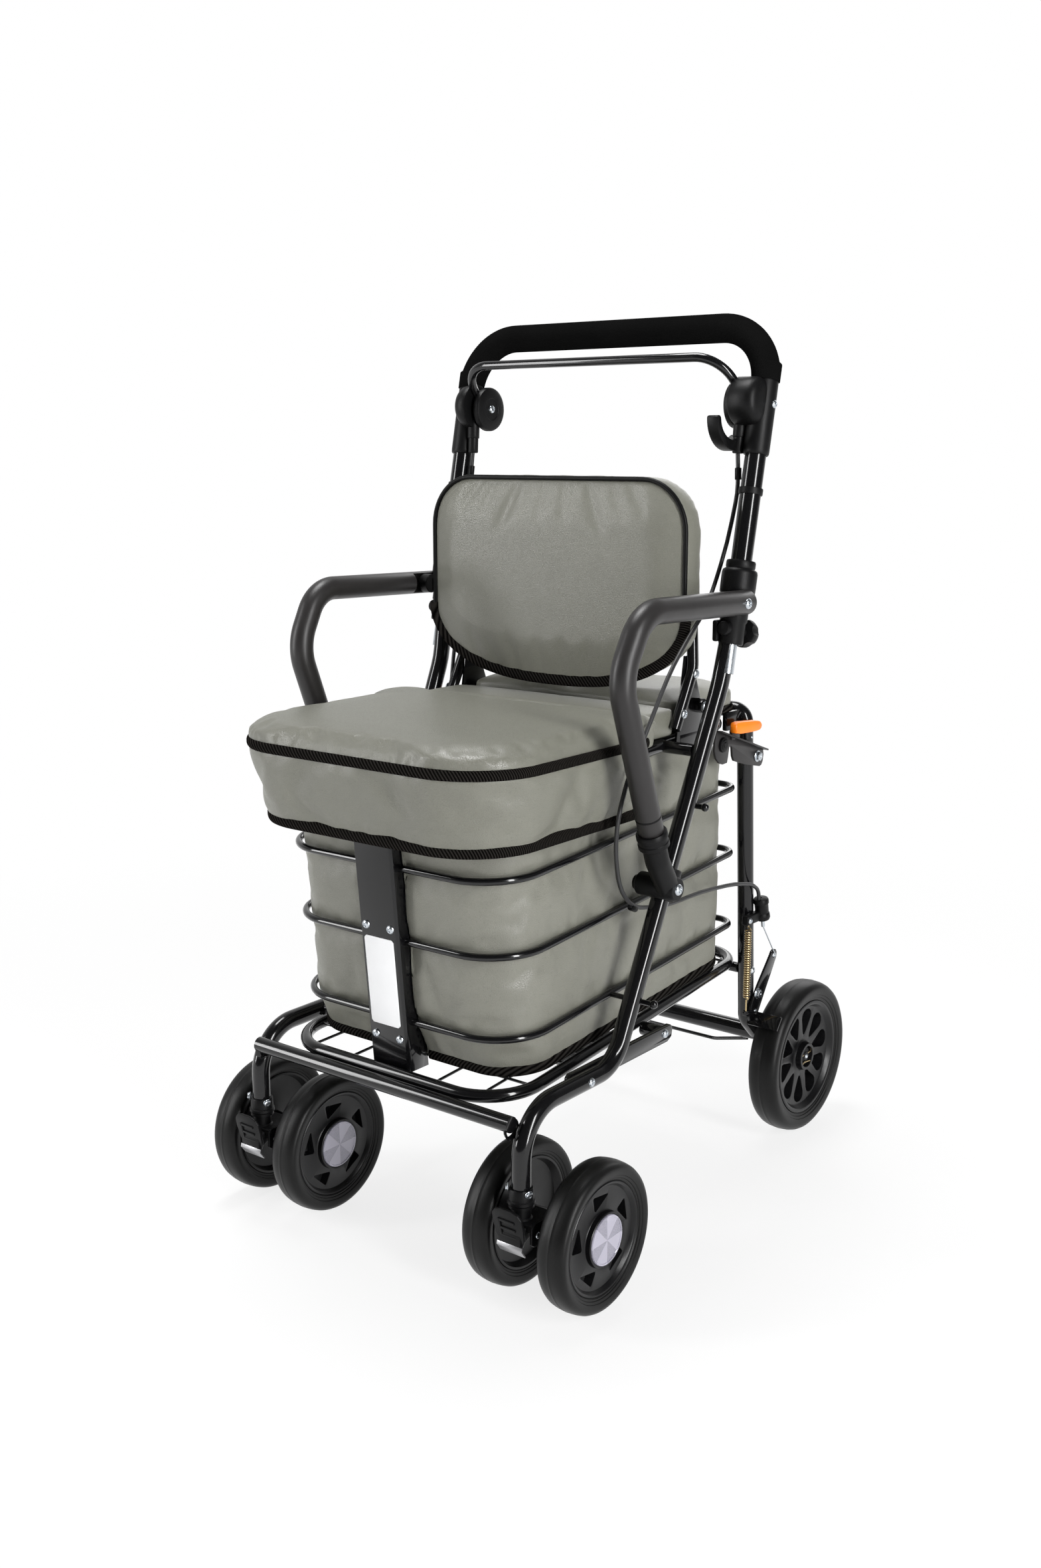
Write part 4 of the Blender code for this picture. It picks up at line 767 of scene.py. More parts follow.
# %% Fastener patterns
pan_head = turned([(0, 0.0024), (0.0018, 0.0023), (0.0033, 0.0018), (0.0042, 0.0009), (0.0044, 0), (0, -0.0004)],
                  steps=28)
recess = stamped_cross(0.0044, 0.0010)
recess.data.transform(Matrix.Translation((0, 0, 0.0024)))
cut_out(pan_head, recess)
rivet_head = turned([(0, 0.0022), (0.0016, 0.0020), (0.0030, 0.0013), (0.0038, 0.0002), (0.0038, -0.0004),
                     (0, -0.0004)], steps=24)
hex_head = rod((0, 0, 0.0008), (0, 0, 0.0046), 0.0058, sides=6, rim=0.0004)
washer = turned([(0.0021, 0.0010), (0.0068, 0.0010), (0.0072, 0.0006), (0.0072, 0), (0.0021, 0)],
                steps=28)
dimple = turned([(0, 0.0050), (0.0026, 0.0050), (0.0020, 0.0043), (0, 0.0042)], steps=20)
cut_out(hex_head, dimple)
weld_on(hex_head, washer)
PATTERNS = {"pan": pan_head, "rivet": rivet_head, "hex": hex_head}
print("fastener patterns:", {name: len(piece.data.polygons) for name, piece in PATTERNS.items()})


def fasten(name, kind, place, direction, body, size=1.0):
    """Copy a fastener to a place, facing a direction."""
    spin = sum(ord(letter) for letter in name) % 60
    facing = Vector(direction).to_track_quat("Z", "Y").to_matrix().to_4x4()
    placing = (Matrix.Translation(place) @ facing @ Matrix.Rotation(math.radians(spin), 4, "Z")
               @ Matrix.Scale(size, 4))
    return finished(copy_of(PATTERNS[kind], placing), name, zinc, body)


# %% [markdown]
# ## Side tubes
# Each side of the walker is one steel tube: a caster stem, a bend back along the floor, a
# long climb and a last bend onto the slanted upper line. It is bent here in one run, and
# its mouth is bored out, because the handle's inner rod slides in it.

# %% Side tubes with their stiffening bars
TUBE_TOP, BORE_WALL, BORE_DEPTH = 0.6715, 0.0018, 0.088
for label, side in SIDES:
    tube = bend_tube(
        [(side * CASTER_X, CASTER_Y, STEM_FOOT), (side * CASTER_X, CASTER_Y, KNEE.z),
         (side * KNEE.x, KNEE.y, KNEE.z), (side * SHOULDER.x, UPPER_Y, UPPER_Z), upper(side, TUBE_TOP)],
        [0, 0.048, 0.042, 0.100, 0], SIDE_TUBE, sides=32, arc_step=0.09)
    pick_faces(tube, lambda face: len(face.vertices) > 4 and face.center.z > 0.6)
    bpy.ops.mesh.inset(thickness=BORE_WALL)
    shoulder = Vector((side * SHOULDER.x, UPPER_Y, UPPER_Z))
    push((shoulder - upper(side, TUBE_TOP)).normalized() * BORE_DEPTH)
    settle(tube)
    finished(tube, "side_tube_shell_" + label, gloss_paint, "frame", "side_tube_" + label)
    bar = cut_sheet([(-0.215, 0.2000), (-0.211, 0.1965), (-0.037, 0.1965), (-0.029, 0.2005), (-0.027, 0.2105),
                     (-0.031, 0.2145), (-0.211, 0.2145), (-0.215, 0.2110)], *span(side, 0.1625, 0.1690), rim=0.0012)
    finished(bar, "side_bar_" + label, gloss_paint, "frame")
    boss = rod((side * 0.1400, -0.042, 0.2070), (side * 0.1640, -0.042, 0.2070), 0.0075, rim=0.001)
    finished(boss, "side_boss_" + label, gloss_paint, "frame")
    fasten("side_tube_bolt_" + label, "pan", (side * 0.1868, -0.2020, 0.2083), (side, 0, 0.1), "frame", 1.05)
    fasten("side_bar_bolt_" + label, "pan", (side * 0.1690, -0.0420, 0.2070), (side, 0, 0), "frame", 1.05)

# %% [markdown]
# ## Front tube, base loop and floor wires
# The base is a flat ring of tube with two flat straps and a lattice of thin wires, which
# carries the bag. The wires are laid one by one and end on the ring, as welded mesh does.

# %% Front tube and base loop
BASE = dict(front=(0.150, -0.295), rear=(0.118, 0.200), height=0.204, rise=0.018)
BASE_TUBE = 0.0065


def loop_corners(front, rear, height, rise):
    (front_x, front_y), (rear_x, rear_y) = front, rear
    return [(-front_x, front_y, height), (front_x, front_y, height),
            (rear_x, rear_y, height + rise), (-rear_x, rear_y, height + rise)]


def loop_side(front, rear, height, rise, y):
    part = (y - front[1]) / (rear[1] - front[1])
    return front[0] + (rear[0] - front[0]) * part, height + rise * part


front_tube = rod((-0.1705, -0.308, 0.196), (0.1705, -0.308, 0.196), 0.008, sides=28)
finished(front_tube, "front_tube", gloss_paint, "frame", "front_cross_tube")
ring = bend_tube(loop_corners(**BASE), [0.057, 0.057, 0.045, 0.045], BASE_TUBE, sides=24, closed=True)
finished(ring, "base_ring", gloss_paint, "frame", "base_loop")
for index, y in enumerate((-0.130, 0.070)):
    half, z = loop_side(**BASE, y=y)
    strap = block((-half, y - 0.009, z - 0.0078), (half, y + 0.009, z - 0.0048), rim=0.0008)
    finished(strap, "base_strap_%d" % index, gloss_paint, "frame")
for label, side in SIDES:
    stub = rod((side * 0.098, 0.187, 0.212), (side * 0.1246, 0.187, 0.212), 0.006, rim=0.0008)
    finished(stub, "fold_stub_" + label, gloss_paint, "frame")

# %% Floor wires
FLOOR_WIRE = 0.0015
floor_wires = []
reach = BASE_TUBE + 0.0002
for y in (-0.242, -0.180, -0.118, -0.052, 0.012, 0.072, 0.126, 0.170):
    half, z = loop_side(**BASE, y=y)
    floor_wires.append(rod((-half + reach * 0.5, y, z + 0.0012), (half - reach * 0.5, y, z + 0.0012), FLOOR_WIRE, 10))
for part in (-0.75, -0.38, 0.0, 0.38, 0.75):
    near_half, near_z = loop_side(**BASE, y=-0.290)
    far_half, far_z = loop_side(**BASE, y=0.196)
    floor_wires.append(rod((part * near_half, -0.290, near_z - 0.0016), (part * far_half, 0.196, far_z - 0.0016),
                           FLOOR_WIRE, 10))
floor_lattice = weld_on(*floor_wires)
finished(floor_lattice, "floor_wires", gloss_paint, "frame", "floor_grid")

# %% [markdown]
# ## Hoops round the bag
# Three rings of thick wire hold the bag in shape. Two of them carry a short peg on each
# side, tipped with a small ball, where the bag's loops can be hooked.

# %% Hoops
HOOP_HALF, HOOP_REAR, HOOP_RISE, HOOP_WIRE = 0.150, (0.132, 0.160), 0.020, 0.0037
HOOP_HEIGHTS = {"upper": 0.418, "middle": 0.342, "lower": 0.257}
UPPER_PEG, PEG_TIP = (0.1860, -0.0193, 0.4531), 0.1976
CLIMB_ANGLE = math.radians(24.6)
for label, height in HOOP_HEIGHTS.items():
    hoop_front = (HOOP_HALF, front_face(height) + 0.0125)
    hoop = bend_tube(loop_corners(hoop_front, HOOP_REAR, height, HOOP_RISE), [0.057, 0.057, 0.022, 0.022],
                     HOOP_WIRE, sides=16, closed=True)
    finished(hoop, "hoop_" + label, gloss_paint, "frame", "basket_hoop_" + label)
    if label == "middle":
        continue
    for name, side in SIDES:
        y = lower(side, height + 0.010).y + SIDE_TUBE / math.cos(CLIMB_ANGLE) + 0.0042
        half, z = loop_side(hoop_front, HOOP_REAR, height, HOOP_RISE, y)
        if label == "upper":
            half, y, z = UPPER_PEG
        peg = rod((side * half, y, z), (side * 0.1970, y, z), 0.0028, 16)
        let_go()
        bpy.ops.mesh.primitive_uv_sphere_add(segments=16, ring_count=10, radius=0.0044,
                                             location=(side * PEG_TIP, y, z))
        tip = settle(bpy.context.object)
        finished(weld_on(peg, tip), "hoop_peg_%s_%s" % (label, name), gloss_paint, "frame")

# %% [markdown]
# ## Front channel
# A channel of folded sheet faces the front, and the hoops pass through its flanges. A
# flat profile is pushed up to its height and given wall thickness, and the bend lines are
# rounded as a press brake leaves them. One slanting matrix then leans the channel and its
# plate back by the same slope.

# %% Channel and its bare plate
fold_line = [Vector(place) for place in ((-0.024, 0.0295, 0.205), (-0.024, 0.0030, 0.205), (-0.0222, 0.0011, 0.205),
                                         (0.0222, 0.0011, 0.205), (0.024, 0.0030, 0.205), (0.024, 0.0295, 0.205))]
channel = one_point(fold_line[0])
for before, after in zip(fold_line, fold_line[1:]):
    push(after - before)
bpy.ops.mesh.select_all(action="SELECT")
push((0, 0, 0.2838))
bpy.ops.mesh.select_all(action="SELECT")
bpy.ops.mesh.normals_make_consistent(inside=False)
settle(channel)
use(channel, "SOLIDIFY", thickness=0.002, offset=0.0, use_even_offset=True)
for z in HOOP_HEIGHTS.values():
    cut_out(channel, rod((-0.03, 0.0125, z), (0.03, 0.0125, z), 0.0036, 20))
use(channel, "BEVEL", width=0.0005, segments=2, limit_method="ANGLE", angle_limit=math.radians(40))
channel.data.transform(LEAN)
finished(channel, "channel", gloss_paint, "frame", "front_channel")

plate = cut_sheet([(-0.019, 0.2545), (-0.0165, 0.252), (0.0165, 0.252), (0.019, 0.2545), (0.019, 0.3425),
                   (0.0165, 0.345), (-0.0165, 0.345), (-0.019, 0.3425)], -0.0012, 0.0001, rim=0.0003, plane="XZ")
plate.data.transform(LEAN)
finished(plate, "bare_plate", label_film, "frame", "label_plate")
for z in (0.239, 0.356):
    for index, x in enumerate((-0.0160, 0.0160)):
        fasten("channel_screw_%d_%d" % (round(z * 1000), index), "pan", (x, front_face(z) + 0.0002, z),
               (0, -1, -FACE_SLOPE), "frame", 1.05)

# %% [markdown]
# ## Seat ring
# A ring of tube under the seat takes the sitter's weight. Short spacers join it to the
# side tubes, and a pin on each side is what the rear frame's latch hooks over.

# %% Seat ring
SEAT = dict(front=(0.150, -0.315), rear=(0.133, 0.135), height=0.497, rise=0.020)
seat_ring = bend_tube(loop_corners(**SEAT), [0.050, 0.050, 0.045, 0.045], 0.007, sides=24, closed=True)
finished(seat_ring, "seat_ring", gloss_paint, "frame", "seat_loop")
for label, side in SIDES:
    there = lower(side, 0.510)
    spacer = rod((side * 0.139, there.y, 0.510), (side * 0.1790, there.y, 0.510), 0.0065, rim=0.0006)
    pin = rod((side * 0.130, 0.0935, 0.505), (side * 0.1431, 0.0935, 0.505), 0.006, rim=0.0008)
    finished(weld_on(spacer, pin), "seat_ring_pins_" + label, gloss_paint, "frame")

# %% [markdown]
# ## Backrest frame
# A bent tube stands behind the backrest. Its feet are flat steel gussets that bolt to the
# seat ring, with one hex boss on the outside of each, so the load of someone leaning back
# goes straight into the ring.

# %% Backrest tube, gussets and their bolts
stay_side = [(-0.0130, 0.5290), (0.0020, 0.5560), (0.0200, 0.5900)]
stay_corners = [(-0.155, y, z) for y, z in stay_side] + [(-0.148, 0.0200, 0.7300), (0.148, 0.0200, 0.7300)]
stay_corners += [(0.155, y, z) for y, z in reversed(stay_side)]
back_stay = bend_tube(stay_corners, [0, 0.030, 0.030, 0.035, 0.035, 0.030, 0.030, 0], 0.0062, sides=20)
finished(back_stay, "back_stay", gloss_paint, "frame", "backrest_frame")
for label, side in SIDES:
    gusset = cut_sheet([(-0.002, 0.5050), (0.052, 0.5050), (0.052, 0.5400), (0.046, 0.5540), (0.026, 0.6030),
                        (0.014, 0.6030)], *span(side, 0.1465, 0.1495), rim=0.0006)
    x_low, x_high = span(side, 0.1448, 0.1500)
    foot = block((x_low, 0.0060, 0.5065), (x_high, 0.0450, 0.5200), rim=0.0010)
    finished(weld_on(gusset, foot), "gusset_" + label, gloss_paint, "frame")
    boss = rod((side * 0.1490, 0.0390, 0.5480), (side * 0.1590, 0.0390, 0.5480), 0.0082, sides=6, rim=0.0010)
    finished(boss, "gusset_boss_" + label, gloss_paint, "frame")
    fasten("gusset_boss_bolt_" + label, "pan", (side * 0.1588, 0.0390, 0.5480), (side, 0, 0), "frame", 1.10)
    fasten("gusset_bolt_upper_" + label, "pan", (side * 0.1606, 0.0170, 0.5850), (side, 0, 0), "frame", 1.10)
    fasten("gusset_bolt_lower_" + label, "pan", (side * 0.1606, -0.0045, 0.5450), (side, 0, 0), "frame", 1.10)

# %% [markdown]
# ## Rear frame
# The rear legs are one tube arch that folds forward about the base. A wider tube at its
# foot carries the axle plates. The arch is bent in one run like the side tubes.

# %% Rear frame tubes and axle plates
FOLD_Y, FOLD_Z = 0.187, 0.212
AXLE_Y, AXLE_Z, REAR_X = 0.258, 0.092, 0.168
LEG, LEG_X, RIVET_SINK = 0.0094, 0.1335, 0.0008
FOOT_Y, FOOT_Z = 0.217, 0.125


def leg(side, z):
    return Vector((side * LEG_X, 0.168 + (0.531 - z) * 0.0615, z))


arch = bend_tube([(-LEG_X, FOOT_Y, FOOT_Z), leg(-1, 0.150), leg(-1, 0.5245), leg(1, 0.5245), leg(1, 0.150),
                  (LEG_X, FOOT_Y, FOOT_Z)], [0, 0.020, 0.014, 0.014, 0.020, 0], LEG, sides=30)
brackets = []
for label, side in SIDES:
    x_low, x_high = span(side, 0.1265, 0.1330)
    brackets.append(block((x_low, 0.1300, 0.5050), (x_high, 0.1660, 0.5270), rim=0.0020))
finished(weld_on(arch, *brackets), "rear_arch", gloss_paint, "rear_frame", "rear_frame")
wheel_tube = rod((-0.1420, FOOT_Y, FOOT_Z), (0.1420, FOOT_Y, FOOT_Z), 0.010, sides=28, rim=0.0012)
finished(wheel_tube, "wheel_tube", gloss_paint, "rear_frame")
hold_down = bend_tube([(-0.118, 0.2240, 0.1110), (-0.070, 0.2275, 0.0985), (0.070, 0.2275, 0.0985),
                       (0.118, 0.2240, 0.1110)], [0, 0.030, 0.030, 0], 0.0022, sides=12)
finished(hold_down, "brake_link_rod", gloss_paint, "rear_frame")
PLATE_OUTLINE = [(0.2050, 0.1370), (0.2290, 0.1370), (0.2400, 0.1270), (0.2680, 0.1010), (0.2700, 0.0920),
                 (0.2660, 0.0830), (0.2580, 0.0800), (0.2480, 0.0840), (0.2050, 0.1130)]
for label, side in SIDES:
    axle_plate = cut_sheet(PLATE_OUTLINE, *span(side, 0.1380, 0.1425), rim=0.0012)
    axle = rod((side * 0.1400, AXLE_Y, AXLE_Z), (side * 0.1788, AXLE_Y, AXLE_Z), 0.0055, rim=0.0004)
    finished(weld_on(axle_plate, axle), "axle_plate_" + label, gloss_paint, "rear_frame")
    cap = turned([(0, 0.0042), (0.0050, 0.0042), (0.0056, 0.0036), (0.0070, 0.0032), (0.0102, 0.0028),
                  (0.0110, 0.0018), (0.0110, 0), (0, 0)], (side * 0.1768, AXLE_Y, AXLE_Z), (side, 0, 0), steps=40)
    finished(cap, "axle_washer_" + label, plastic, "rear_frame")
    fasten("axle_end_" + label, "rivet", (side * 0.1810, AXLE_Y, AXLE_Z), (side, 0, 0), "rear_frame", 0.75)
    tube_cap = turned([(0, 0.0016), (0.0080, 0.0012), (0.0096, 0.0004), (0.0096, -0.003), (0, -0.003)],
                      (side * 0.1425, FOOT_Y, FOOT_Z), (side, 0, 0), steps=32)
    finished(tube_cap, "wheel_tube_cap_" + label, plastic, "rear_frame")
    clip_line = [(0.1796, -0.0150, 0.0020), (0.1800, 0.0120, 0.0030), (0.1806, 0.0215, -0.0010),
                 (0.1810, 0.0120, -0.0085), (0.1812, -0.0060, -0.0060), (0.1812, -0.0140, -0.0090)]
    clip = bend_tube([(side * x, AXLE_Y + back, AXLE_Z + rise) for x, back, rise in clip_line],
                     [0, 0.0050, 0.0045, 0.0050, 0.0040, 0], 0.0009, sides=10)
    finished(clip, "axle_clip_" + label, spring_wire, "rear_frame")
    fasten("latch_pivot_bolt_" + label, "hex", (side * 0.1470, 0.176, 0.472), (side, 0, 0), "rear_frame", 0.92)
    fasten("arm_pivot_bolt_" + label, "hex", (side * 0.1470, 0.193, 0.183), (side, 0, 0), "rear_frame", 0.88)
    fasten("fold_rivet_" + label, "rivet", (side * (LEG_X + LEG), FOLD_Y, FOLD_Z), (side, 0, 0), "rear_frame", 1.2)
    corner = leg(side, 0.494) + Vector((side * (LEG - RIVET_SINK), 0, 0))
    fasten("arch_corner_rivet_" + label, "rivet", corner, (side, 0, 0), "rear_frame", 0.55)

# %% [markdown]
# ## Cable clamps, springs and brake arms
# Each brake is a flat lever beside the rear wheel. The cable's end runs into a barrel on
# the leg, a thin wire goes on to the lever, and a close brass spring lifts the shoe off
# the tyre. The spring is a real helix: a ring of wire screwed down its axis.

# %% Clamp and its barrel
CABLE_X = 0.1480


def cable_end(side, label):
    x_low, x_high = span(side, 0.1414, 0.1500)
    body = block((x_low, 0.1610, 0.2735), (x_high, 0.1990, 0.2850), rim=0.0016, segments=3)
    foot, top = Vector((side * CABLE_X, 0.1985, 0.2727)), Vector((side * CABLE_X, 0.1925, 0.3010))
    barrel = turned([(0.0016, 0.0289), (0.0062, 0.0287), (0.0082, 0.0279), (0.0090, 0.0262), (0.0090, 0.0222),
                     (0.0082, 0.0212), (0.0080, 0.0100), (0.0088, 0.0090), (0.0092, 0.0040), (0.0082, 0.0014),
                     (0.0060, 0.0002), (0.0016, 0.0000)],
                    foot, top - foot, steps=36)
    finished(weld_on(body, barrel), "clamp_" + label, plastic, "rear_frame", "cable_clamp_" + label)
    nozzle = foot - (top - foot).normalized() * 0.0090
    ring_nut = rod(nozzle, foot, 0.0022, 20, rim=0.0004)
    finished(ring_nut, "clamp_nut_" + label, zinc, "rear_frame")
    wire = rod(nozzle, (side * 0.1478, 0.2312, 0.2222), 0.0008, 10)
    finished(wire, "brake_wire_" + label, zinc, "rear_frame")
    fasten("clamp_bolt_" + label, "pan", (side * 0.1500, 0.1660, 0.2790), (side, 0, 0), "rear_frame", 0.80)


# %% Return spring
CURLS, COIL, WIRE = 29, 0.0033, 0.00095
SPRING_HOOK_Z, SPRING_FOOT_Z = 0.2745, 0.1680


def return_spring(side, label):
    high, low = 0.2680, 0.1860
    let_go()
    bpy.ops.mesh.primitive_circle_add(vertices=8, radius=WIRE, fill_type="NOTHING", location=(COIL, 0, 0),
                                      rotation=(math.pi / 2, 0, 0))
    coil = settle(bpy.context.object)
    use(coil, "SCREW", angle=2 * math.pi * CURLS, screw_offset=(low - high), steps=20 * CURLS,
        render_steps=20 * CURLS, use_smooth_shade=True)
    axis_x, axis_y = side * CABLE_X, 0.1655
    coil.data.transform(Matrix.Translation((axis_x, axis_y, high)))
    top_eye = bend_tube([(axis_x + COIL, axis_y, high), (axis_x + COIL * 0.7, axis_y, high + 0.0022),
                         (axis_x, axis_y, high + 0.0036), (axis_x, axis_y, SPRING_HOOK_Z)], [0, 0.0010, 0.0012, 0],
                        WIRE, sides=8)
    foot_eye = bend_tube([(axis_x + COIL, axis_y, low), (axis_x + COIL * 0.7, axis_y, low - 0.0022),
                          (axis_x, axis_y, low - 0.0034), (axis_x, axis_y, SPRING_FOOT_Z)], [0, 0.0010, 0.0012, 0],
                         WIRE, sides=8)
    held = ("rear_frame", "brake_arm_" + label, (axis_x, axis_y, SPRING_HOOK_Z), (axis_x, axis_y, SPRING_FOOT_Z))
    finished(weld_on(coil, top_eye, foot_eye), "spring_" + label, spring_wire, held, "brake_spring_" + label)


# %% Brake arm
TO_SHOE = Vector((0.0, -0.7725, 0.6349))
SHOE_FLAT = Vector((0.0, 0.6349, 0.7725))


def brake_lever(side, label):
    lever = cut_sheet([(0.2235, 0.2225), (0.2262, 0.2262), (0.2310, 0.2282), (0.2362, 0.2268), (0.2390, 0.2225),
                       (0.2382, 0.2170), (0.2290, 0.2030), (0.2160, 0.1850), (0.2060, 0.1700), (0.1985, 0.1590),
                       (0.1930, 0.1520), (0.1860, 0.1490), (0.1795, 0.1510), (0.1770, 0.1570), (0.1800, 0.1690),
                       (0.1860, 0.1800), (0.1960, 0.1930), (0.2130, 0.2110)], *span(side, 0.1437, 0.1465), rim=0.0006)
    middle = Vector((0, AXLE_Y, AXLE_Z)) + TO_SHOE * 0.0978
    corners = []
    for out, along in ((-0.0016, -0.0075), (-0.0012, 0.001), (-0.0016, 0.0095), (0.0014, 0.0100),
                       (0.0014, 0.001), (0.0014, -0.0080)):
        corner = middle + TO_SHOE * out + SHOE_FLAT * along
        corners.append((corner.y, corner.z))
    shoe = cut_sheet(corners, *span(side, 0.1442, 0.1835), rim=0.0006)
    lug = cut_sheet([(0.1840, 0.1640), (0.1840, 0.1560), (0.1640, 0.1630), (0.1640, 0.1687), (0.1672, 0.1687)],
                    *span(side, 0.1440, 0.1495), rim=0.0004)
    finished(weld_on(lever, shoe, lug), "brake_lever_" + label, gloss_paint, "brake_arm_" + label,
             "brake_arm_" + label)
    for name, place, size in (("wire", (side * 0.1465, 0.2318, 0.2205), 0.9),
                              ("shoe", (side * 0.1465, 0.1900, 0.1610), 0.8)):
        fasten("lever_%s_rivet_%s" % (name, label), "rivet", place, (side, 0, 0), "brake_arm_" + label, size)


for label, side in SIDES:
    cable_end(side, label)
    return_spring(side, label)
    brake_lever(side, label)

# %% [markdown]
# ## Latches
# A hooked plate on each side keeps the rear frame open, and an orange plastic tab on its
# top flange lifts the hook. The tab stays plain. Its edges are generously rounded.

# %% Latch plates and tabs
for label, side in SIDES:
    body = "latch_" + label
    hook = cut_sheet([(0.0860, 0.5140), (0.1900, 0.4790), (0.1915, 0.4720), (0.1900, 0.4640), (0.1870, 0.4600),
                      (0.1830, 0.4590), (0.1500, 0.4660), (0.1250, 0.4740), (0.1215, 0.4800), (0.1200, 0.4900),
                      (0.1170, 0.4925), (0.1140, 0.4910), (0.1120, 0.4810), (0.1100, 0.4740), (0.1010, 0.4735),
                      (0.0930, 0.4760), (0.0865, 0.4820), (0.0830, 0.4900), (0.0832, 0.5020)],
                     *span(side, 0.1435, 0.1465), rim=0.0006)
    flange = cut_sheet([(0.0860, 0.5140), (0.1900, 0.4790), (0.1894, 0.4772), (0.0854, 0.5122)],
                       *span(side, 0.1440, 0.1540), rim=0.0006)
    bush = turned([(0, 0.0058), (0.0030, 0.0058), (0.0036, 0.0050), (0.0056, 0.0048), (0.0062, 0.0040),
                   (0.0080, 0.0036), (0.0084, 0.0026), (0.0084, 0), (0, 0)], (side * 0.1455, 0.0990, 0.4960),
                  (side, 0, 0), steps=40)
    finished(weld_on(hook, flange), "latch_hook_" + label, satin_paint, body, "latch_plate_" + label)
    finished(bush, "latch_bush_" + label, plastic, body)
    x_low, x_high = span(side, 0.1450, 0.1490)
    stem = block((x_low, 0.1150, 0.4990), (x_high, 0.1320, 0.5100), rim=0.0006)
    finished(stem, "tab_stem_" + label, satin_paint, body)
    tab = cut_sheet([(0.1135, 0.5075), (0.1128, 0.5160), (0.1155, 0.5190), (0.1210, 0.5195), (0.1580, 0.5163),
                     (0.1660, 0.5147), (0.1705, 0.5112), (0.1705, 0.5072), (0.1665, 0.5045), (0.1600, 0.5040),
                     (0.1400, 0.5045), (0.1240, 0.5055)], *span(side, 0.1465, 0.1555), rim=0.0018)
    finished(tab, "orange_tab_" + label, orange, body, "release_tab_" + label)

# %% [markdown]
# ## Rear wheels
# A solid rubber tyre is moulded round a plastic disc. The tyre's section has a soft
# shoulder, a small step where the mould's side plates met and a faint parting line round
# its middle. The disc has ten petal-shaped pockets that don't go through, all cut with
# one cutter that is turned step by step.

# %% Helpers for wheels
def around(piece, count, phase, cutter_of):
    """Cut the same hollow a number of times round a wheel's axis."""
    for index in range(count):
        cut_out(piece, cutter_of(2 * math.pi * (index + phase) / count))
    return piece


def wheel_place(centre, outward, turn=0.0):
    """A matrix that turns a wheel made about Z so that its face looks outward along X."""
    axes = Matrix(((0, 0, outward, 0), (1, 0, 0, 0), (0, outward, 0, 0), (0, 0, 0, 1)))
    return Matrix.Translation(centre) @ axes @ Matrix.Rotation(turn, 4, "Z")


def swung(points, turn):
    """Points given as distance out and distance across, swung round a wheel's axis."""
    return [(out * math.cos(turn) - across * math.sin(turn), out * math.sin(turn) + across * math.cos(turn))
            for out, across in points]


def both_faces(half):
    return half + [(radius, -height) for radius, height in reversed(half)]


# %% Rear tyre and disc
rear_tyre = turned(both_faces([
    (0.0697, 0.0139), (0.0712, 0.0150), (0.0728, 0.0150), (0.0733, 0.0160), (0.0762, 0.0166), (0.0767, 0.0174),
    (0.0820, 0.0187), (0.0852, 0.0182), (0.0882, 0.0162), (0.0903, 0.0128), (0.0915, 0.0085), (0.0919, 0.0040),
    (0.0920, 0.0007), (0.0922, 0.0002)]), steps=128)
rear_disc = turned([
    (0.0057, 0.0086), (0.0092, 0.0086), (0.0100, 0.0092), (0.0124, 0.0092), (0.0128, 0.0142), (0.0134, 0.0147),
    (0.0160, 0.0147), (0.0166, 0.0142), (0.0176, 0.0078), (0.0192, 0.0064), (0.0215, 0.0061), (0.0600, 0.0084),
    (0.0612, 0.0090), (0.0638, 0.0138), (0.0650, 0.0148), (0.0680, 0.0150), (0.0690, 0.0146), (0.0695, 0.0136),
    (0.0695, -0.0150), (0.0670, -0.0150), (0.0620, -0.0070), (0.0200, -0.0070), (0.0160, -0.0150), (0.0057, -0.0160)],
    steps=120)
print("rear wheel:", round(2 * max(vertex.co.x for vertex in rear_tyre.data.vertices), 3), "m across")

# %% Petal pockets, and both rear wheels
PETALS, PETAL_PHASE = 10, 0.27


def petal(turn):
    """A cutter for one pocket, narrow at the hub and round at the rim."""
    half = [(0.0262, 0.0016), (0.0300, 0.0040), (0.0400, 0.0082), (0.0455, 0.0108), (0.0505, 0.0112),
            (0.0548, 0.0090), (0.0575, 0.0048)]
    points = [(0.0255, 0.0), *half, (0.0582, 0.0), *[(out, -across) for out, across in reversed(half)]]
    return cut_sheet(swung(points, turn), -0.0045, 0.018, rim=0, plane="XY")


around(rear_disc, PETALS, PETAL_PHASE, petal)
use(rear_disc, "BEVEL", width=0.0007, segments=2, limit_method="ANGLE", angle_limit=math.radians(55))
for label, side in SIDES:
    body = "rear_wheel_" + label
    left_turn = -4 * math.pi * PETAL_PHASE / PETALS  # makes the pair mirror each other
    where = wheel_place((side * REAR_X, AXLE_Y, AXLE_Z), side, 0.0 if side > 0 else left_turn)
    finished(copy_of(rear_tyre, where), "rear_rubber_" + label, tyre_rubber, body, "rear_tyre_" + label)
    finished(copy_of(rear_disc, where), "rear_disc_" + label, disc_plastic, body, "rear_hub_" + label)
discard(rear_tyre, rear_disc)

# %% [markdown]
# ## Front wheels
# The four front wheels are smaller and come in pairs. Each disc has five slanted
# windows, which are shallow pockets too, and a round reflector pressed into its middle.

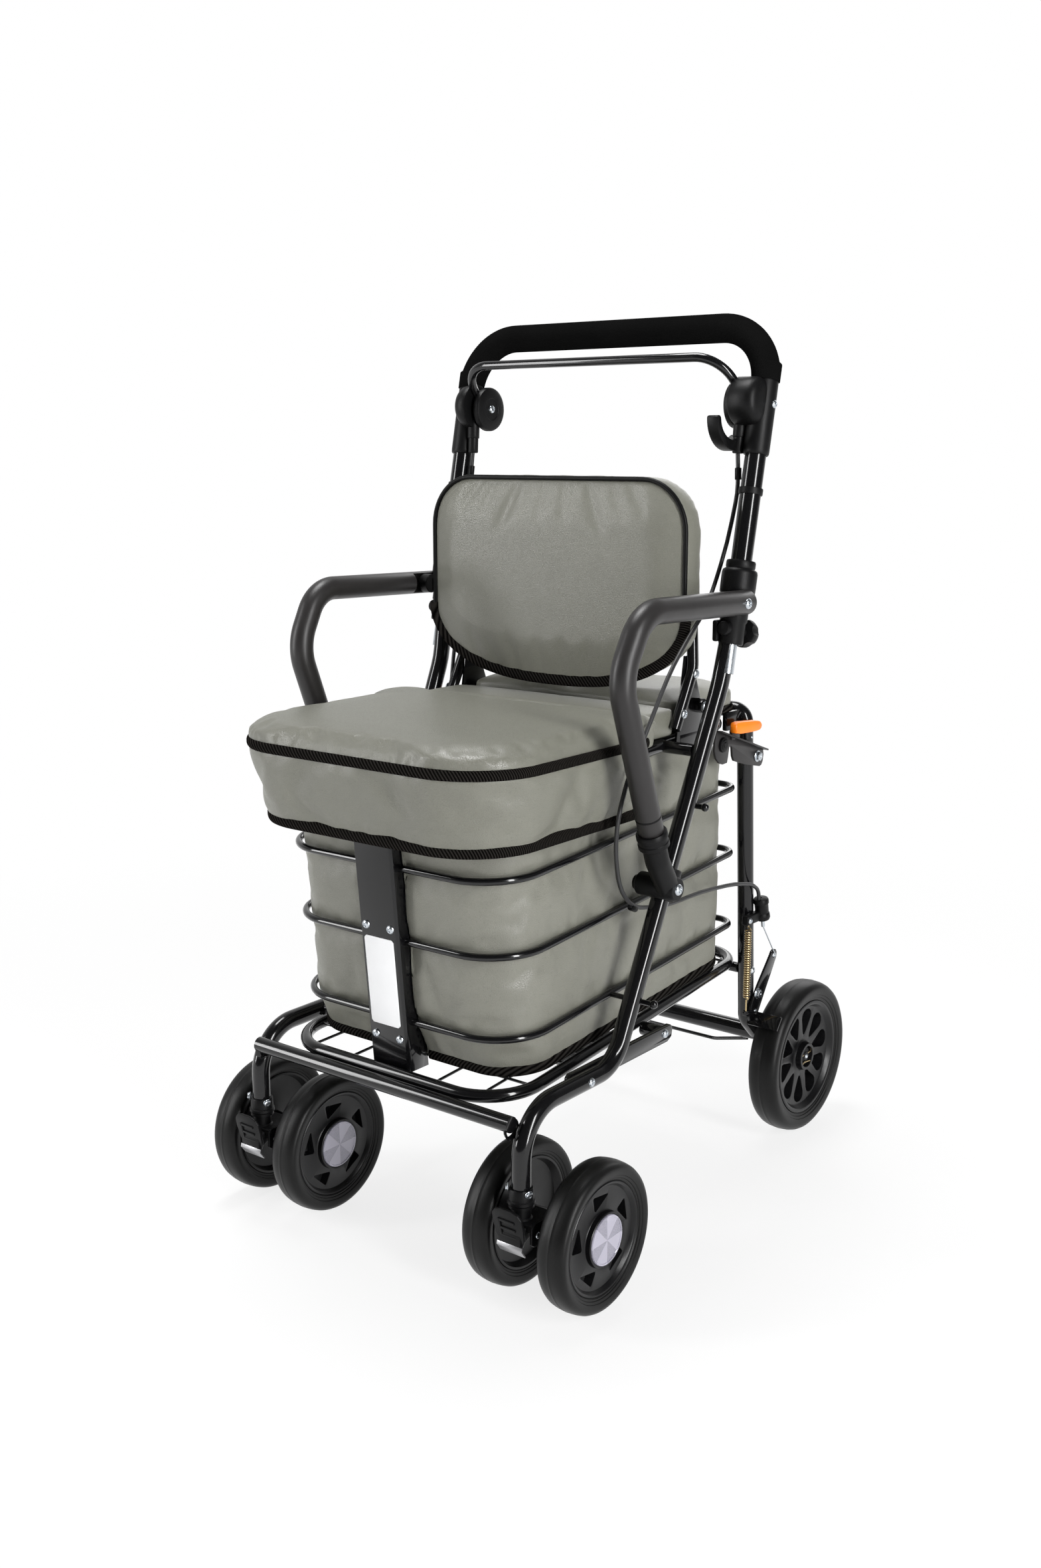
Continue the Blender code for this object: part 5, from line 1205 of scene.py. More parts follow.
# %% Front wheel patterns
FRONT_RADIUS, TWIN_GAP, LENS_WIDTH = 0.075, 0.0453, 0.0504
front_tyre = turned(both_faces([
    (0.0571, 0.0118), (0.0582, 0.0127), (0.0596, 0.0127), (0.0601, 0.0136), (0.0624, 0.0142), (0.0629, 0.0150),
    (0.0672, 0.0164), (0.0698, 0.0160), (0.0722, 0.0143), (0.0738, 0.0114), (0.0746, 0.0075), (0.0750, 0.0035),
    (0.0750, 0.0007), (0.0752, 0.0002)]), steps=120)
front_disc = turned([
    (0, 0.0138), (0.0254, 0.0138), (0.0256, 0.0150), (0.0268, 0.0152), (0.0276, 0.0146), (0.0280, 0.0098),
    (0.0292, 0.0088), (0.0495, 0.0080), (0.0512, 0.0083), (0.0534, 0.0112), (0.0545, 0.0122), (0.0560, 0.0125),
    (0.0569, 0.0119), (0.0569, -0.0125), (0.0545, -0.0125), (0.0515, -0.0040), (0.0120, -0.0040), (0.0110, -0.0160),
    (0.0042, -0.0160), (0.0042, 0.0085), (0, 0.0085)], steps=112)
print("front wheel:", round(2 * max(vertex.co.x for vertex in front_tyre.data.vertices), 3), "m across")


# %% Slanted windows
WINDOWS, WINDOW_PHASE = 5, 0.33


def slanted_window(turn):
    """A cutter for one window, a triangle whose broad end leads."""
    points = [(0.0398, -0.0152), (0.0316, 0.0062), (0.0322, 0.0078), (0.0336, 0.0084), (0.0448, 0.0088),
              (0.0462, 0.0080), (0.0462, 0.0064), (0.0412, -0.0148)]
    return cut_sheet(swung(points, turn), -0.0015, 0.013, rim=0, plane="XY")


around(front_disc, WINDOWS, WINDOW_PHASE, slanted_window)
use(front_disc, "BEVEL", width=0.0005, segments=2, limit_method="ANGLE", angle_limit=math.radians(55))
print("front disc with its windows:", len(front_disc.data.polygons), "faces")

# %% Reflectors, and all four front wheels
lens = turned([(0, 0.0158), (0.0226, 0.0154), (0.0232, 0.0161), (0.0246, 0.0161), (0.0252, 0.0152), (0.0252, 0.0139),
               (0, 0.0139)], steps=72)
spread = lens.data.uv_layers.new(name="UVMap") if not lens.data.uv_layers else lens.data.uv_layers[0]
for loop in lens.data.loops:
    place = lens.data.vertices[loop.vertex_index].co
    spread.data[loop.index].uv = (0.5 + place.x / LENS_WIDTH, 0.5 + place.y / LENS_WIDTH)
for label, side in SIDES:
    for twin, outward in (("inner", -side), ("outer", side)):
        name = label + "_" + twin
        body = "front_wheel_" + name
        where = wheel_place((side * CASTER_X + outward * TWIN_GAP, CASTER_Y + CASTER_TRAIL, FRONT_RADIUS), outward)
        finished(copy_of(front_tyre, where), "front_rubber_" + name, tyre_rubber, body, "front_tyre_" + name)
        finished(copy_of(front_disc, where), "front_disc_" + name, disc_plastic, body, "front_hub_" + name)
        finished(copy_of(lens, where), "reflector_" + name, reflector, body)
discard(front_tyre, front_disc, lens)

# %% [markdown]
# ## Casters
# Each pair of front wheels swivels on a moulded yoke under the stem. A collar is bolted
# round the stem above it, and a foot pedal in front locks the swivel.

# %% Yokes, collars and pedals
for label, side in SIDES:
    stem_x, axle_y = side * CASTER_X, CASTER_Y + CASTER_TRAIL
    body = "caster_" + label
    hood = turned([(0, 0.0217), (0.0112, 0.0217), (0.0124, 0.0208), (0.0124, 0.0180), (0.0096, 0.0170),
                   (0.0094, 0.0080), (0.0146, 0.0030), (0.0150, 0), (0, 0)],
                  (stem_x, CASTER_Y, 0.0960), steps=48)
    bridge = block((stem_x - 0.0205, CASTER_Y - 0.010, 0.0936), (stem_x + 0.0205, CASTER_Y + 0.029, 0.1026), rim=0.0026,
                   segments=3)
    parts = [bridge]
    for x in (stem_x - 0.0206, stem_x + 0.0174):
        parts.append(cut_sheet([
            (CASTER_Y - 0.010, 0.1010), (CASTER_Y - 0.006, 0.1030), (CASTER_Y + 0.026, 0.1030),
            (CASTER_Y + 0.032, 0.1000), (axle_y + 0.0110, 0.0800), (axle_y + 0.0105, 0.0700),
            (axle_y + 0.0050, 0.0645), (axle_y - 0.0070, 0.0645), (axle_y - 0.0110, 0.0670),
            (CASTER_Y + 0.008, 0.0780), (CASTER_Y - 0.006, 0.0800), (CASTER_Y - 0.010, 0.0830)],
            x, x + 0.0032, rim=0.0010))
    axle_spot = Vector((stem_x, axle_y, FRONT_RADIUS))
    parts.append(rod(axle_spot - Vector((0.0285, 0, 0)), axle_spot + Vector((0.0285, 0, 0)), 0.0080, 32, rim=0.0008))
    finished(weld_on(hood, *parts), "yoke_" + label, plastic, body, "caster_fork_" + label)
    axle = rod(axle_spot - Vector((0.0533, 0, 0)), axle_spot + Vector((0.0533, 0, 0)), 0.0038, 20)
    finished(axle, "caster_axle_" + label, zinc, body)
    collar = turned([(0.0098, 0.0150), (0.0112, 0.0148), (0.0118, 0.0140), (0.0122, 0.0040), (0.0134, 0.0030),
                     (0.0136, 0.0004), (0.0098, 0.0004)], (stem_x, CASTER_Y, 0.1180), steps=48)
    finished(collar, "stem_collar_" + label, plastic, "frame")
    for index, heading in enumerate((Vector((-0.80, -0.60, 0)), Vector((0.95, -0.31, -0.30)))):
        fasten("stem_bolt_%s_%d" % (label, index), "hex",
               Vector((stem_x, CASTER_Y, 0.1335)) + heading * 0.0124, heading, "frame", 0.60)
    weld_line = turned([(0.0078, 0.0), (0.0108, 0.0), (0.0098, 0.0022), (0.0078, 0.0036)],
                       (side * (CASTER_X - 0.0086), -0.305, 0.190), (-side, 0, 0), steps=40)
    finished(weld_line, "stem_weld_" + label, gloss_paint, "frame")
    half = [(0.0050, 0.0172), (0.0105, 0.0152), (0.0134, 0.0110), (0.0138, 0.0030), (0.0128, -0.0080),
            (0.0100, -0.0150), (0.0050, -0.0172)]
    spade = cut_sheet(half + [(-x, z) for x, z in reversed(half)], -0.0015, 0.0015, rim=0.0007, plane="XZ")
    ribs = [block((-0.0068, -0.0028, z - 0.0011), (0.0068, -0.0012, z + 0.0011), rim=0.0005)
            for z in (-0.0070, 0.0, 0.0070)]
    ribs.append(block((-0.0084, -0.0028, -0.0081), (-0.0062, -0.0012, 0.0081), rim=0.0005))
    face = weld_on(spade, *ribs)
    face.data.transform(Matrix.Translation((stem_x, CASTER_Y - 0.0185, 0.0985))
                        @ Matrix.Rotation(math.radians(14), 4, "X") @ Matrix.Diagonal((1.3, 1.0, 1.25, 1.0)))
    pedal = "caster_pedal_" + label
    arm = cut_sheet([(CASTER_Y + 0.0030, 0.0990), (CASTER_Y - 0.0010, 0.1010), (CASTER_Y - 0.0160, 0.0980),
                     (CASTER_Y - 0.0190, 0.0930), (CASTER_Y - 0.0190, 0.0820), (CASTER_Y - 0.0160, 0.0810),
                     (CASTER_Y + 0.0020, 0.0900)],
                    stem_x - 0.0132, stem_x + 0.0132, rim=0.0012)
    finished(weld_on(face, arm), "pedal_" + label, plastic, pedal, "caster_pedal_" + label)
    strip = cut_sheet([(CASTER_Y - 0.0182, 0.0820), (CASTER_Y - 0.0192, 0.0782), (CASTER_Y - 0.0130, 0.0700),
                       (CASTER_Y - 0.0120, 0.0706), (CASTER_Y - 0.0177, 0.0783), (CASTER_Y - 0.0170, 0.0816)],
                      stem_x - 0.0150, stem_x + 0.0150, rim=0.0003)
    finished(strip, "pedal_strip_" + label, rolled_steel, pedal)
    fasten("pedal_rivet_" + label, "rivet", (stem_x + 0.0208, CASTER_Y - 0.001, 0.0905), (1, 0, 0), body, 0.85)

# %% [markdown]
# ## Handle
# The handle is one bent tube with thinner rods that slide down inside the side tubes. A
# long foam grip is pulled over its top, and its ends are rounded where the foam is cut.

# %% Handle tube and grip
HANDLE_FOOT, HANDLE_TOP, HANDLE_TUBE = 0.673, 0.9387, 0.011
GRIP_FOOT, GRIP_TUBE = 0.9020, 0.015
HANDLE_BENDS = [0, 0.058, 0.058, 0]
HANDLE_CORNERS = [upper(-1, HANDLE_TOP), upper(1, HANDLE_TOP)]
handle_tube = bend_tube([upper(-1, HANDLE_FOOT), *HANDLE_CORNERS, upper(1, HANDLE_FOOT)], HANDLE_BENDS,
                        HANDLE_TUBE, sides=36, arc_step=0.08)
finished(handle_tube, "handle_bow", gloss_paint, "handle", "handle_tube")
for label, side in SIDES:
    finished(rod(upper(side, 0.588), upper(side, 0.680), 0.0072, 24), "inner_rod_" + label, zinc, "handle")
grip = bend_tube([upper(-1, GRIP_FOOT), *HANDLE_CORNERS, upper(1, GRIP_FOOT)], HANDLE_BENDS,
                 GRIP_TUBE, sides=40, arc_step=0.08)
use(grip, "BEVEL", width=0.0022, segments=3, limit_method="ANGLE", angle_limit=math.radians(60))
finished(grip, "foam_sleeve", grip_foam, "handle", "foam_grip")

# %% [markdown]
# ## Brake housings and bar
# A moulded tee on each upright holds a drum on its outer side and a thin disc on its inner
# side, and the brake bar turns between the two. Under the drum is the sleeve where the
# cable comes out. The tee's body is turned about the upright, the drum about the bar. The
# right drum is longer, so each side gets its own.

# %% Housing helpers
PIVOT_Y, PIVOT_Z = 0.0785, 0.860


def upright(low, high, profile, steps=56):
    """Turn a profile about the slanted upright. Heights run from 0 to 1 between two z values."""
    foot, top = upper(1, low), upper(1, high)
    length = (top - foot).length
    return turned([(radius, height * length) for radius, height in profile], foot, top - foot, steps=steps)


def arc_points(centre, radii, start, stop, count):
    """Points along part of an ellipse, angles in degrees."""
    places = []
    for step in range(count + 1):
        angle = math.radians(start + (stop - start) * step / count)
        places.append((centre[0] + radii[0] * math.cos(angle), centre[1] + radii[1] * math.sin(angle)))
    return places


# %% Right-hand tee, disc and sleeve
tee = upright(0.8090, 0.9005, [(0.0112, 0), (0.0126, 0), (0.0134, 0.012), (0.0137, 0.05), (0.0138, 0.55),
                               (0.0137, 0.97), (0.0131, 0.99), (0.0112, 1.0)])
boss = turned([(0, 0.0105), (0.0064, 0.0105), (0.0064, 0), (0, 0)], (0.1660, PIVOT_Y, PIVOT_Z), (1, 0, 0), steps=32)
disc = turned([(0, 0.0005), (0.0120, 0.0005), (0.0126, 0.0), (0.0215, 0.0), (0.0240, 0.0012), (0.0248, 0.0030),
               (0.0248, 0.0072), (0.0240, 0.0080), (0, 0.0080)], (0.1620, PIVOT_Y, PIVOT_Z), (1, 0, 0), steps=64)
exit_sleeve = rod((0.1780, 0.0650, 0.8480), (0.1772, 0.0622, 0.8105), 0.0058, 32, rim=0.0012)
exit_collar = rod((0.1780, 0.0650, 0.8480), (0.1776, 0.0636, 0.8270), 0.0068, 32, rim=0.0008)
housing = weld_on(tee, boss, exit_sleeve, exit_collar)
print("housing pattern:", len(housing.data.polygons), "faces")


# %% Housings on both sides
def on_side(pattern, side):
    """A copy of the right-hand pattern, or its mirror image for the left."""
    return copy_of(pattern) if side > 0 else mirrored(pattern)


def drum(length):
    """The round body that holds the cable's wheel, domed on its outer face."""
    return turned([(0, length), (0.0125, length - 0.0003), (0.0180, length - 0.0014), (0.0215, length - 0.0036),
                   (0.0238, length - 0.0070), (0.0247, length - 0.0115), (0.0249, 0.0010), (0.0242, 0.0), (0, 0)],
                  (0.1745, PIVOT_Y - 0.0120, PIVOT_Z + 0.0030), (1, 0, 0), steps=64)


for label, side, length in (("left", -1, 0.0190), ("right", 1, 0.0310)):
    body = weld_on(copy_of(housing), drum(length))
    finished(on_side(body, side), "housing_" + label, plastic, "handle", "brake_housing_" + label)
    discard(body)
    finished(on_side(disc, side), "housing_disc_" + label, plastic, "handle")
    fasten("housing_bolt_" + label, "pan", (side * 0.2096, PIVOT_Y - 0.0010, PIVOT_Z), (side, 0, 0), "handle", 0.95)
    fasten("disc_bolt_" + label, "pan", (side * 0.1623, PIVOT_Y, PIVOT_Z), (-side, 0, 0), "handle", 1.05)
discard(housing, disc)

# %% [markdown]
# ## Bag hook
# Only the right housing has a hook. It is a broad moulded scoop, so it is cut as thick
# sheet whose outline follows two part ellipses, and its edges are rounded.

# %% Hook
outside = arc_points((0.0560, 0.8460), (-0.0360, -0.0330), 0, 88, 12)
inside = arc_points((0.0560, 0.8460), (-0.0285, -0.0220), 88, 4, 10)
hook = cut_sheet([*outside, (0.0690, 0.8135), (0.0690, 0.8300), *inside, (0.0270, 0.8470), (0.0240, 0.8490),
                  (0.0205, 0.8480)], 0.1645, 0.1780, rim=0.0012)
finished(hook, "housing_hook_right", plastic, "handle")
fasten("hook_screw", "pan", (0.1712, 0.0500, 0.8245), (0, -0.6, 0.8), "handle", 0.55)

# %% Brake bar
bar = bend_tube([(-0.174, PIVOT_Y, PIVOT_Z), (-0.172, 0.0385, 0.907), (0.172, 0.0385, 0.907),
                 (0.174, PIVOT_Y, PIVOT_Z)], [0, 0.036, 0.036, 0], 0.0048, sides=26)
eyes = []
for label, side in SIDES:
    eyes.append(turned([(0.0064, 0), (0.0108, 0), (0.0115, 0.0007), (0.0115, 0.0069), (0.0108, 0.0076),
                        (0.0064, 0.0076)], (side * 0.1702, PIVOT_Y, PIVOT_Z), (side, 0, 0), steps=40))
finished(weld_on(bar, *eyes), "squeeze_bar", gloss_paint, "brake_bar", "brake_bar")

# %% [markdown]
# ## Height collars and knobs
# A moulded collar closes the top of each side tube and clamps the handle. Its thin lip,
# wide cap and narrower sleeve are one turned profile, and a lug on it carries the
# armrest. The knob behind it has five lobes, cut out of a dome by five round cutters.

# %% Collar pattern
COLLAR_FOOT, COLLAR_TOP = 0.6175, 0.7020


def level(z):
    """How far up the collar a height lies, as a part of its whole length."""
    return (z - COLLAR_FOOT) / (COLLAR_TOP - COLLAR_FOOT)


collar_body = upright(COLLAR_FOOT, COLLAR_TOP, [
    (0.0094, 0), (0.0122, 0), (0.0129, level(0.6190)), (0.0130, level(0.6392)), (0.0143, level(0.6410)),
    (0.0144, level(0.6672)), (0.0172, level(0.6684)), (0.0183, level(0.6698)), (0.0185, level(0.6760)),
    (0.0185, level(0.6895)), (0.0178, level(0.6922)), (0.0160, level(0.6936)), (0.0147, level(0.6942)),
    (0.0153, level(0.6958)), (0.0153, level(0.7004)), (0.0146, level(COLLAR_TOP)), (0.0108, level(COLLAR_TOP))],
    steps=64)
lug = turned([(0, 0), (0.0100, 0), (0.0107, 0.0008), (0.0107, 0.0114), (0.0100, 0.0122), (0, 0.0122)],
             (0.194, 0.0065, 0.662), (1, 0, 0), steps=40)
web = block((0.1930, 0.0060, 0.6530), (0.2042, 0.0300, 0.6690), rim=0.0024, segments=3)
ear_left = block((0.1815, 0.0120, 0.6210), (0.1880, 0.0225, 0.6430), rim=0.0022, segments=3)
collar_pattern = weld_on(collar_body, lug, web, ear_left)
print("collar pattern:", len(collar_pattern.data.polygons), "faces")

# %% Knob and nut patterns
LOBES, LOBE_PHASE = 5, 0.3
knob_pattern = turned([(0, 0.0205), (0.0060, 0.0203), (0.0104, 0.0192), (0.0136, 0.0168), (0.0150, 0.0130),
                       (0.0154, 0.0090), (0.0150, 0.0056), (0.0134, 0.0046), (0.0058, 0.0042), (0.0056, 0.0), (0, 0)],
                      steps=100)
nut_pattern = turned([(0, 0.0086), (0.0046, 0.0084), (0.0066, 0.0074), (0.0074, 0.0056), (0.0075, 0.0012), (0.0070, 0),
                      (0, 0)], steps=40)


def lobe_gap(turn):
    place = Vector((math.cos(turn), math.sin(turn), 0)) * 0.0212
    return rod(place + Vector((0, 0, 0.0015)), place + Vector((0, 0, 0.024)), 0.0086, 28)


around(knob_pattern, LOBES, LOBE_PHASE, lobe_gap)
use(knob_pattern, "BEVEL", width=0.0008, segments=3, limit_method="ANGLE", angle_limit=math.radians(35))
print("knob pattern:", len(knob_pattern.data.polygons), "faces")

# %% Collars, knobs and cable bands on both sides
band_pattern = upright(0.7690, 0.7755, [(0.0112, 0), (0.0124, 0), (0.0126, 0.15), (0.0126, 0.85), (0.0124, 1),
                                        (0.0112, 1)], 48)
for label, side in SIDES:
    finished(on_side(collar_pattern, side), "collar_" + label, plastic, "frame", "height_collar_" + label)
    heart = upper(side, 0.632)
    outward = (-UPPER_BACK).to_track_quat("Z", "Y").to_matrix().to_4x4()
    nut = copy_of(nut_pattern, Matrix.Translation(heart - UPPER_BACK * 0.0120) @ outward)
    finished(nut, "collar_nut_" + label, plastic, "frame")
    pad = rod(heart + UPPER_BACK * 0.010, heart + UPPER_BACK * 0.0150, 0.0068, 32, rim=0.0006)
    finished(pad, "knob_seat_" + label, plastic, "frame")
    start = heart + UPPER_BACK * 0.0153
    facing = UPPER_BACK.to_track_quat("Z", "Y").to_matrix().to_4x4()
    knob = copy_of(knob_pattern, Matrix.Translation(start) @ facing)
    finished(knob, "knob_" + label, plastic, "height_knob_" + label, "height_knob_" + label)
    finished(on_side(band_pattern, side), "cable_band_" + label, plastic, "handle")
discard(collar_pattern, knob_pattern, nut_pattern, band_pattern)

# %% [markdown]
# ## Armrests
# Each armrest is a thick bent tube with a satin coat. It is bolted to the collar's lug at
# the rear, turns down at the front, and ends in a moulded elbow that is clamped to the
# side tube. A thin ring marks where the elbow's cup begins.

# %% Armrests and brackets
ARM = 0.0127


def armrest_corners(side):
    return [Vector((side * 0.2125, 0.0270, 0.6620)), Vector((side * 0.2125, -0.1640, 0.6660)),
            Vector((side * 0.2100, -0.1960, 0.6060)), Vector((side * 0.2090, -0.1330, 0.4400))]


for label, side in SIDES:
    corners = armrest_corners(side)
    armrest = bend_tube(corners, [0, 0.042, 0.052, 0], ARM, sides=40, arc_step=0.08)
    x_low, x_high = span(side, 0.1900, 0.2063)
    flat = block((x_low, -0.0130, 0.640), (x_high, 0.040, 0.684), rim=0.0010)
    use(cut_out(armrest, flat), "BEVEL", width=0.0016, segments=3, limit_method="ANGLE", angle_limit=math.radians(55))
    finished(armrest, "arm_tube_" + label, satin_paint, "frame", "armrest_" + label)
    heading = corners[2] - corners[3]
    ring = turned([(0.0124, -0.0012), (0.0130, -0.0008), (0.0131, 0.0), (0.0130, 0.0008), (0.0124, 0.0012)],
                  corners[3].lerp(corners[2], 0.16), heading, steps=56)
    finished(ring, "arm_ring_" + label, plastic, "frame")
    fasten("arm_bolt_" + label, "pan", (side * 0.2248, 0.0100, 0.6622), (side, 0, 0), "frame", 1.25)
    foot = corners[3]
    along = (foot - corners[2]).normalized()
    pin = Vector((side * 0.2050, -0.0990, 0.3860))
    elbow = bend_tube([foot - along * 0.003, foot + along * 0.022, pin], [0, 0.02, 0], 0.0122, sides=36)
    cup = turned([(0.0128, 0), (0.0148, 0), (0.0157, 0.0012), (0.0158, 0.0060), (0.0150, 0.0066), (0.0150, 0.0110),
                  (0.0157, 0.0118), (0.0157, 0.0160), (0.0140, 0.0176), (0.0122, 0.0180)],
                 foot - along * 0.0125, along, steps=56)
    hub = turned([(0, 0), (0.0112, 0), (0.0121, 0.0010), (0.0122, 0.0430), (0.0108, 0.0452), (0, 0.0455)],
                 (side * 0.1718, pin.y, pin.z), (side, 0, 0), steps=48)
    low, high = lower(side, 0.366), lower(side, 0.396)
    length = (high - low).length
    clamp = turned([(0.0096, 0), (0.0133, 0), (0.0142, 0.0010), (0.0143, length * 0.47), (0.0136, length * 0.485),
                    (0.0136, length * 0.515), (0.0143, length * 0.53), (0.0142, length - 0.0010), (0.0133, length),
                    (0.0096, length)], low, high - low, steps=56)
    x_low, x_high = span(side, 0.1755, 0.2005)
    web = block((x_low, pin.y - 0.005, 0.3750), (x_high, low.y + 0.002, 0.3950), rim=0.0028, segments=3)
    finished(weld_on(elbow, cup, hub, clamp, web), "arm_bracket_" + label, plastic, "frame",
             "armrest_bracket_" + label)
    fasten("bracket_bolt_" + label, "pan", (side * 0.2172, pin.y, pin.z), (side, 0, 0), "frame", 1.35)
    knob = turned([(0, 0.0070), (0.0050, 0.0068), (0.0074, 0.0056), (0.0081, 0.0036), (0.0078, 0.0), (0, 0)],
                  (side * 0.1722, pin.y, pin.z), (-side, 0, 0), steps=36)
    finished(knob, "bracket_cap_" + label, plastic, "frame")

# %% [markdown]
# ## Brake cables
# A sheathed cable leaves each housing and is held by a band on the handle. The right one
# loops forward inside the armrest and the left one hangs behind its side tube, and both
# come back to the clamp beside the rear leg. Each corner of a route gets the widest bend
# that its neighbours leave room for, so it hangs like cable. A cable crosses two joints,
# so it is made as two lengths, each spanning one of them.

# %% Cables
CABLE = 0.00225
CABLE_PLACES = [
    (0.1772, 0.0622, 0.8130), (0.1790, 0.0612, 0.7900), (0.1800, 0.0590, 0.7700),
    (0.1765, 0.0475, 0.7200), (0.1705, 0.0320, 0.6740), (0.1760, 0.0060, 0.6520),
    (0.1770, -0.0180, 0.6340), (0.1800, -0.0630, 0.5985), (0.1830, -0.1080, 0.5440),
    (0.1835, -0.1400, 0.5030), (0.1820, -0.1550, 0.4660), (0.1780, -0.1530, 0.4310),
    (0.1710, -0.1360, 0.3880), (0.1640, -0.1000, 0.3580), (0.1590, -0.0300, 0.3430),
    (0.1560, 0.0450, 0.3420), (0.1520, 0.1250, 0.3330), (0.1505, 0.1670, 0.3230),
    (0.1490, 0.1845, 0.3120), (0.1480, 0.1887, 0.2970)]
LEFT_CABLE_PLACES = CABLE_PLACES[:4] + [
    (0.1675, 0.0330, 0.6740), (0.1695, 0.0260, 0.6350), (0.1715, 0.0175, 0.5800),
    (0.1710, 0.0090, 0.5250), (0.1685, 0.0100, 0.4700), (0.1640, 0.0200, 0.4200),
    (0.1590, 0.0400, 0.3750), (0.1550, 0.0750, 0.3480)] + CABLE_PLACES[16:]


def hanging(places, radius, sides=14):
    """A tube through a list of places, each corner as round as there is room for."""
    places = [Vector(place) for place in places]
    bends = [0]
    for before, here, after in zip(places, places[1:], places[2:]):
        turn = max((here - before).angle(after - here), 0.01)
        room = 0.46 * min((here - before).length, (after - here).length)
        bends.append(min(room / math.tan(turn / 2), 0.6))
    return bend_tube(places, [*bends, 0], radius, sides=sides, arc_step=0.07)


for label, side, route, split, rear in (("left", -1, LEFT_CABLE_PLACES, 7, 11), ("right", 1, CABLE_PLACES, 9, 14)):
    places = [Vector((side * x, y, z)) for x, y, z in route]
    joint = (places[split - 1] + places[split]) / 2
    first = hanging([*places[:split], joint], CABLE)
    second = hanging([joint, *places[split:]], CABLE)
    finished(first, "cable_upper_" + label, sheath, ("handle", "frame", places[1], places[5]), "brake_cable_" + label)
    finished(second, "cable_lower_" + label, sheath, ("frame", "rear_frame", places[rear], places[-2]))
    for index, (number, body) in enumerate(((1, "handle"), (rear - 1, "frame"))):
        heading = places[number + 1] - places[number - 1]
        sleeve = turned([(0.0020, -0.0060), (0.0032, -0.0060), (0.0035, -0.0054), (0.0035, 0.0054), (0.0032, 0.0060),
                         (0.0020, 0.0060)], places[number], heading, steps=24)
        finished(sleeve, "cable_ferrule_%s_%d" % (label, index), plastic, body)

# %% [markdown]
# ## Stuffed covers
# A cushion is foam inside a sewn cover, and it swells between its seams. Each one starts
# as a slab cut to its outline. It is remeshed to even squares, and Blender's cloth solver
# blows it up a little with some spare cover, so that creases gather at the seams. No
# point may move further than a stated limit, because foam holds its shape.

# %% Cloth helpers
def puffed(piece, limit, pressure, spare, held=None):
    """Swell a mesh as cloth for twenty frames, and cap how far each point moves."""
    start = [vertex.co.copy() for vertex in piece.data.vertices]
    take(piece)
    cloth = piece.modifiers.new("cloth", "CLOTH")
    cloth.settings.quality = 6
    cloth.settings.mass = 0.25
    cloth.settings.air_damping = 3.0
    cloth.settings.tension_stiffness = 14
    cloth.settings.compression_stiffness = 14
    cloth.settings.shear_stiffness = 8
    cloth.settings.bending_stiffness = 1.2
    cloth.settings.use_pressure = True
    cloth.settings.uniform_pressure_force = pressure
    cloth.settings.shrink_min = spare
    cloth.settings.effector_weights.gravity = 0.0
    cloth.collision_settings.use_collision = False
    if held:
        group = piece.vertex_groups.new(name="held")
        group.add([index for index, place in enumerate(start) if held(place)], 1.0, "REPLACE")
        cloth.settings.vertex_group_mass = "held"
    for frame_number in range(1, 21):
        bpy.context.scene.frame_set(frame_number)
    bpy.ops.object.modifier_apply(modifier=cloth.name)
    bpy.context.scene.frame_set(1)
    for vertex, place in zip(piece.data.vertices, start):
        moved = vertex.co - place
        if moved.length > limit:
            vertex.co = place + moved * (limit / moved.length)
    return piece


def stuffed(piece, limit, grain=0.005, pressure=4.0, spare=-0.02, held=None):
    """Turn a slab into a filled cushion."""
    use(piece, "REMESH", mode="VOXEL", voxel_size=grain)
    use(piece, "SMOOTH", factor=0.5, iterations=4)
    puffed(piece, limit, pressure, spare, held)
    use(piece, "SMOOTH", factor=0.4, iterations=1)
    return use(piece, "SUBSURF", levels=1)


# %% [markdown]
# ## Tape and piping
# Seams are covered by woven tape or by round piping. Both are swept along the seam as a
# tube, and tape is then stretched flat. A map that runs along the seam lets the woven
# ribs follow every corner.

# %% Tape helpers
def run_along(piece, path):
    """Give a strip a flat map in metres: how far along its path, and how far across."""
    ways = [0.0]
    for before, after in zip(path, path[1:]):
        ways.append(ways[-1] + (after - before).length)
    flat = piece.data.uv_layers[0] if piece.data.uv_layers else piece.data.uv_layers.new(name="UVMap")
    along = []
    for vertex in piece.data.vertices:
        best = (1.0, 0.0)
        for index in range(len(path) - 1):
            run = path[index + 1] - path[index]
            part = min(max((vertex.co - path[index]).dot(run) / run.length_squared, 0.0), 1.0)
            best = min(best, ((vertex.co - path[index] - run * part).length, ways[index] + run.length * part))
        along.append(best[1])
    for loop in piece.data.loops:
        place = piece.data.vertices[loop.vertex_index].co
        flat.data[loop.index].uv = (along[loop.vertex_index], place.z + place.y)
    return piece


def rounded_path(corners, bends, step=0.012):
    """The points of a path whose corners are arcs."""
    corners = [Vector(corner) for corner in corners]
    places = [corners[0]]
    for index in range(1, len(corners) - 1):
        first, last, middle, axis, turn = corner_arc(corners[index - 1], corners[index], corners[index + 1],
                                                     bends[index])
        count = max(3, round(turn * bends[index] / step))
        for number in range(count + 1):
            turned_by = Matrix.Rotation(-turn * number / count, 3, axis)
            places.append(middle + turned_by @ (first - middle))
    return [*places, corners[-1]]


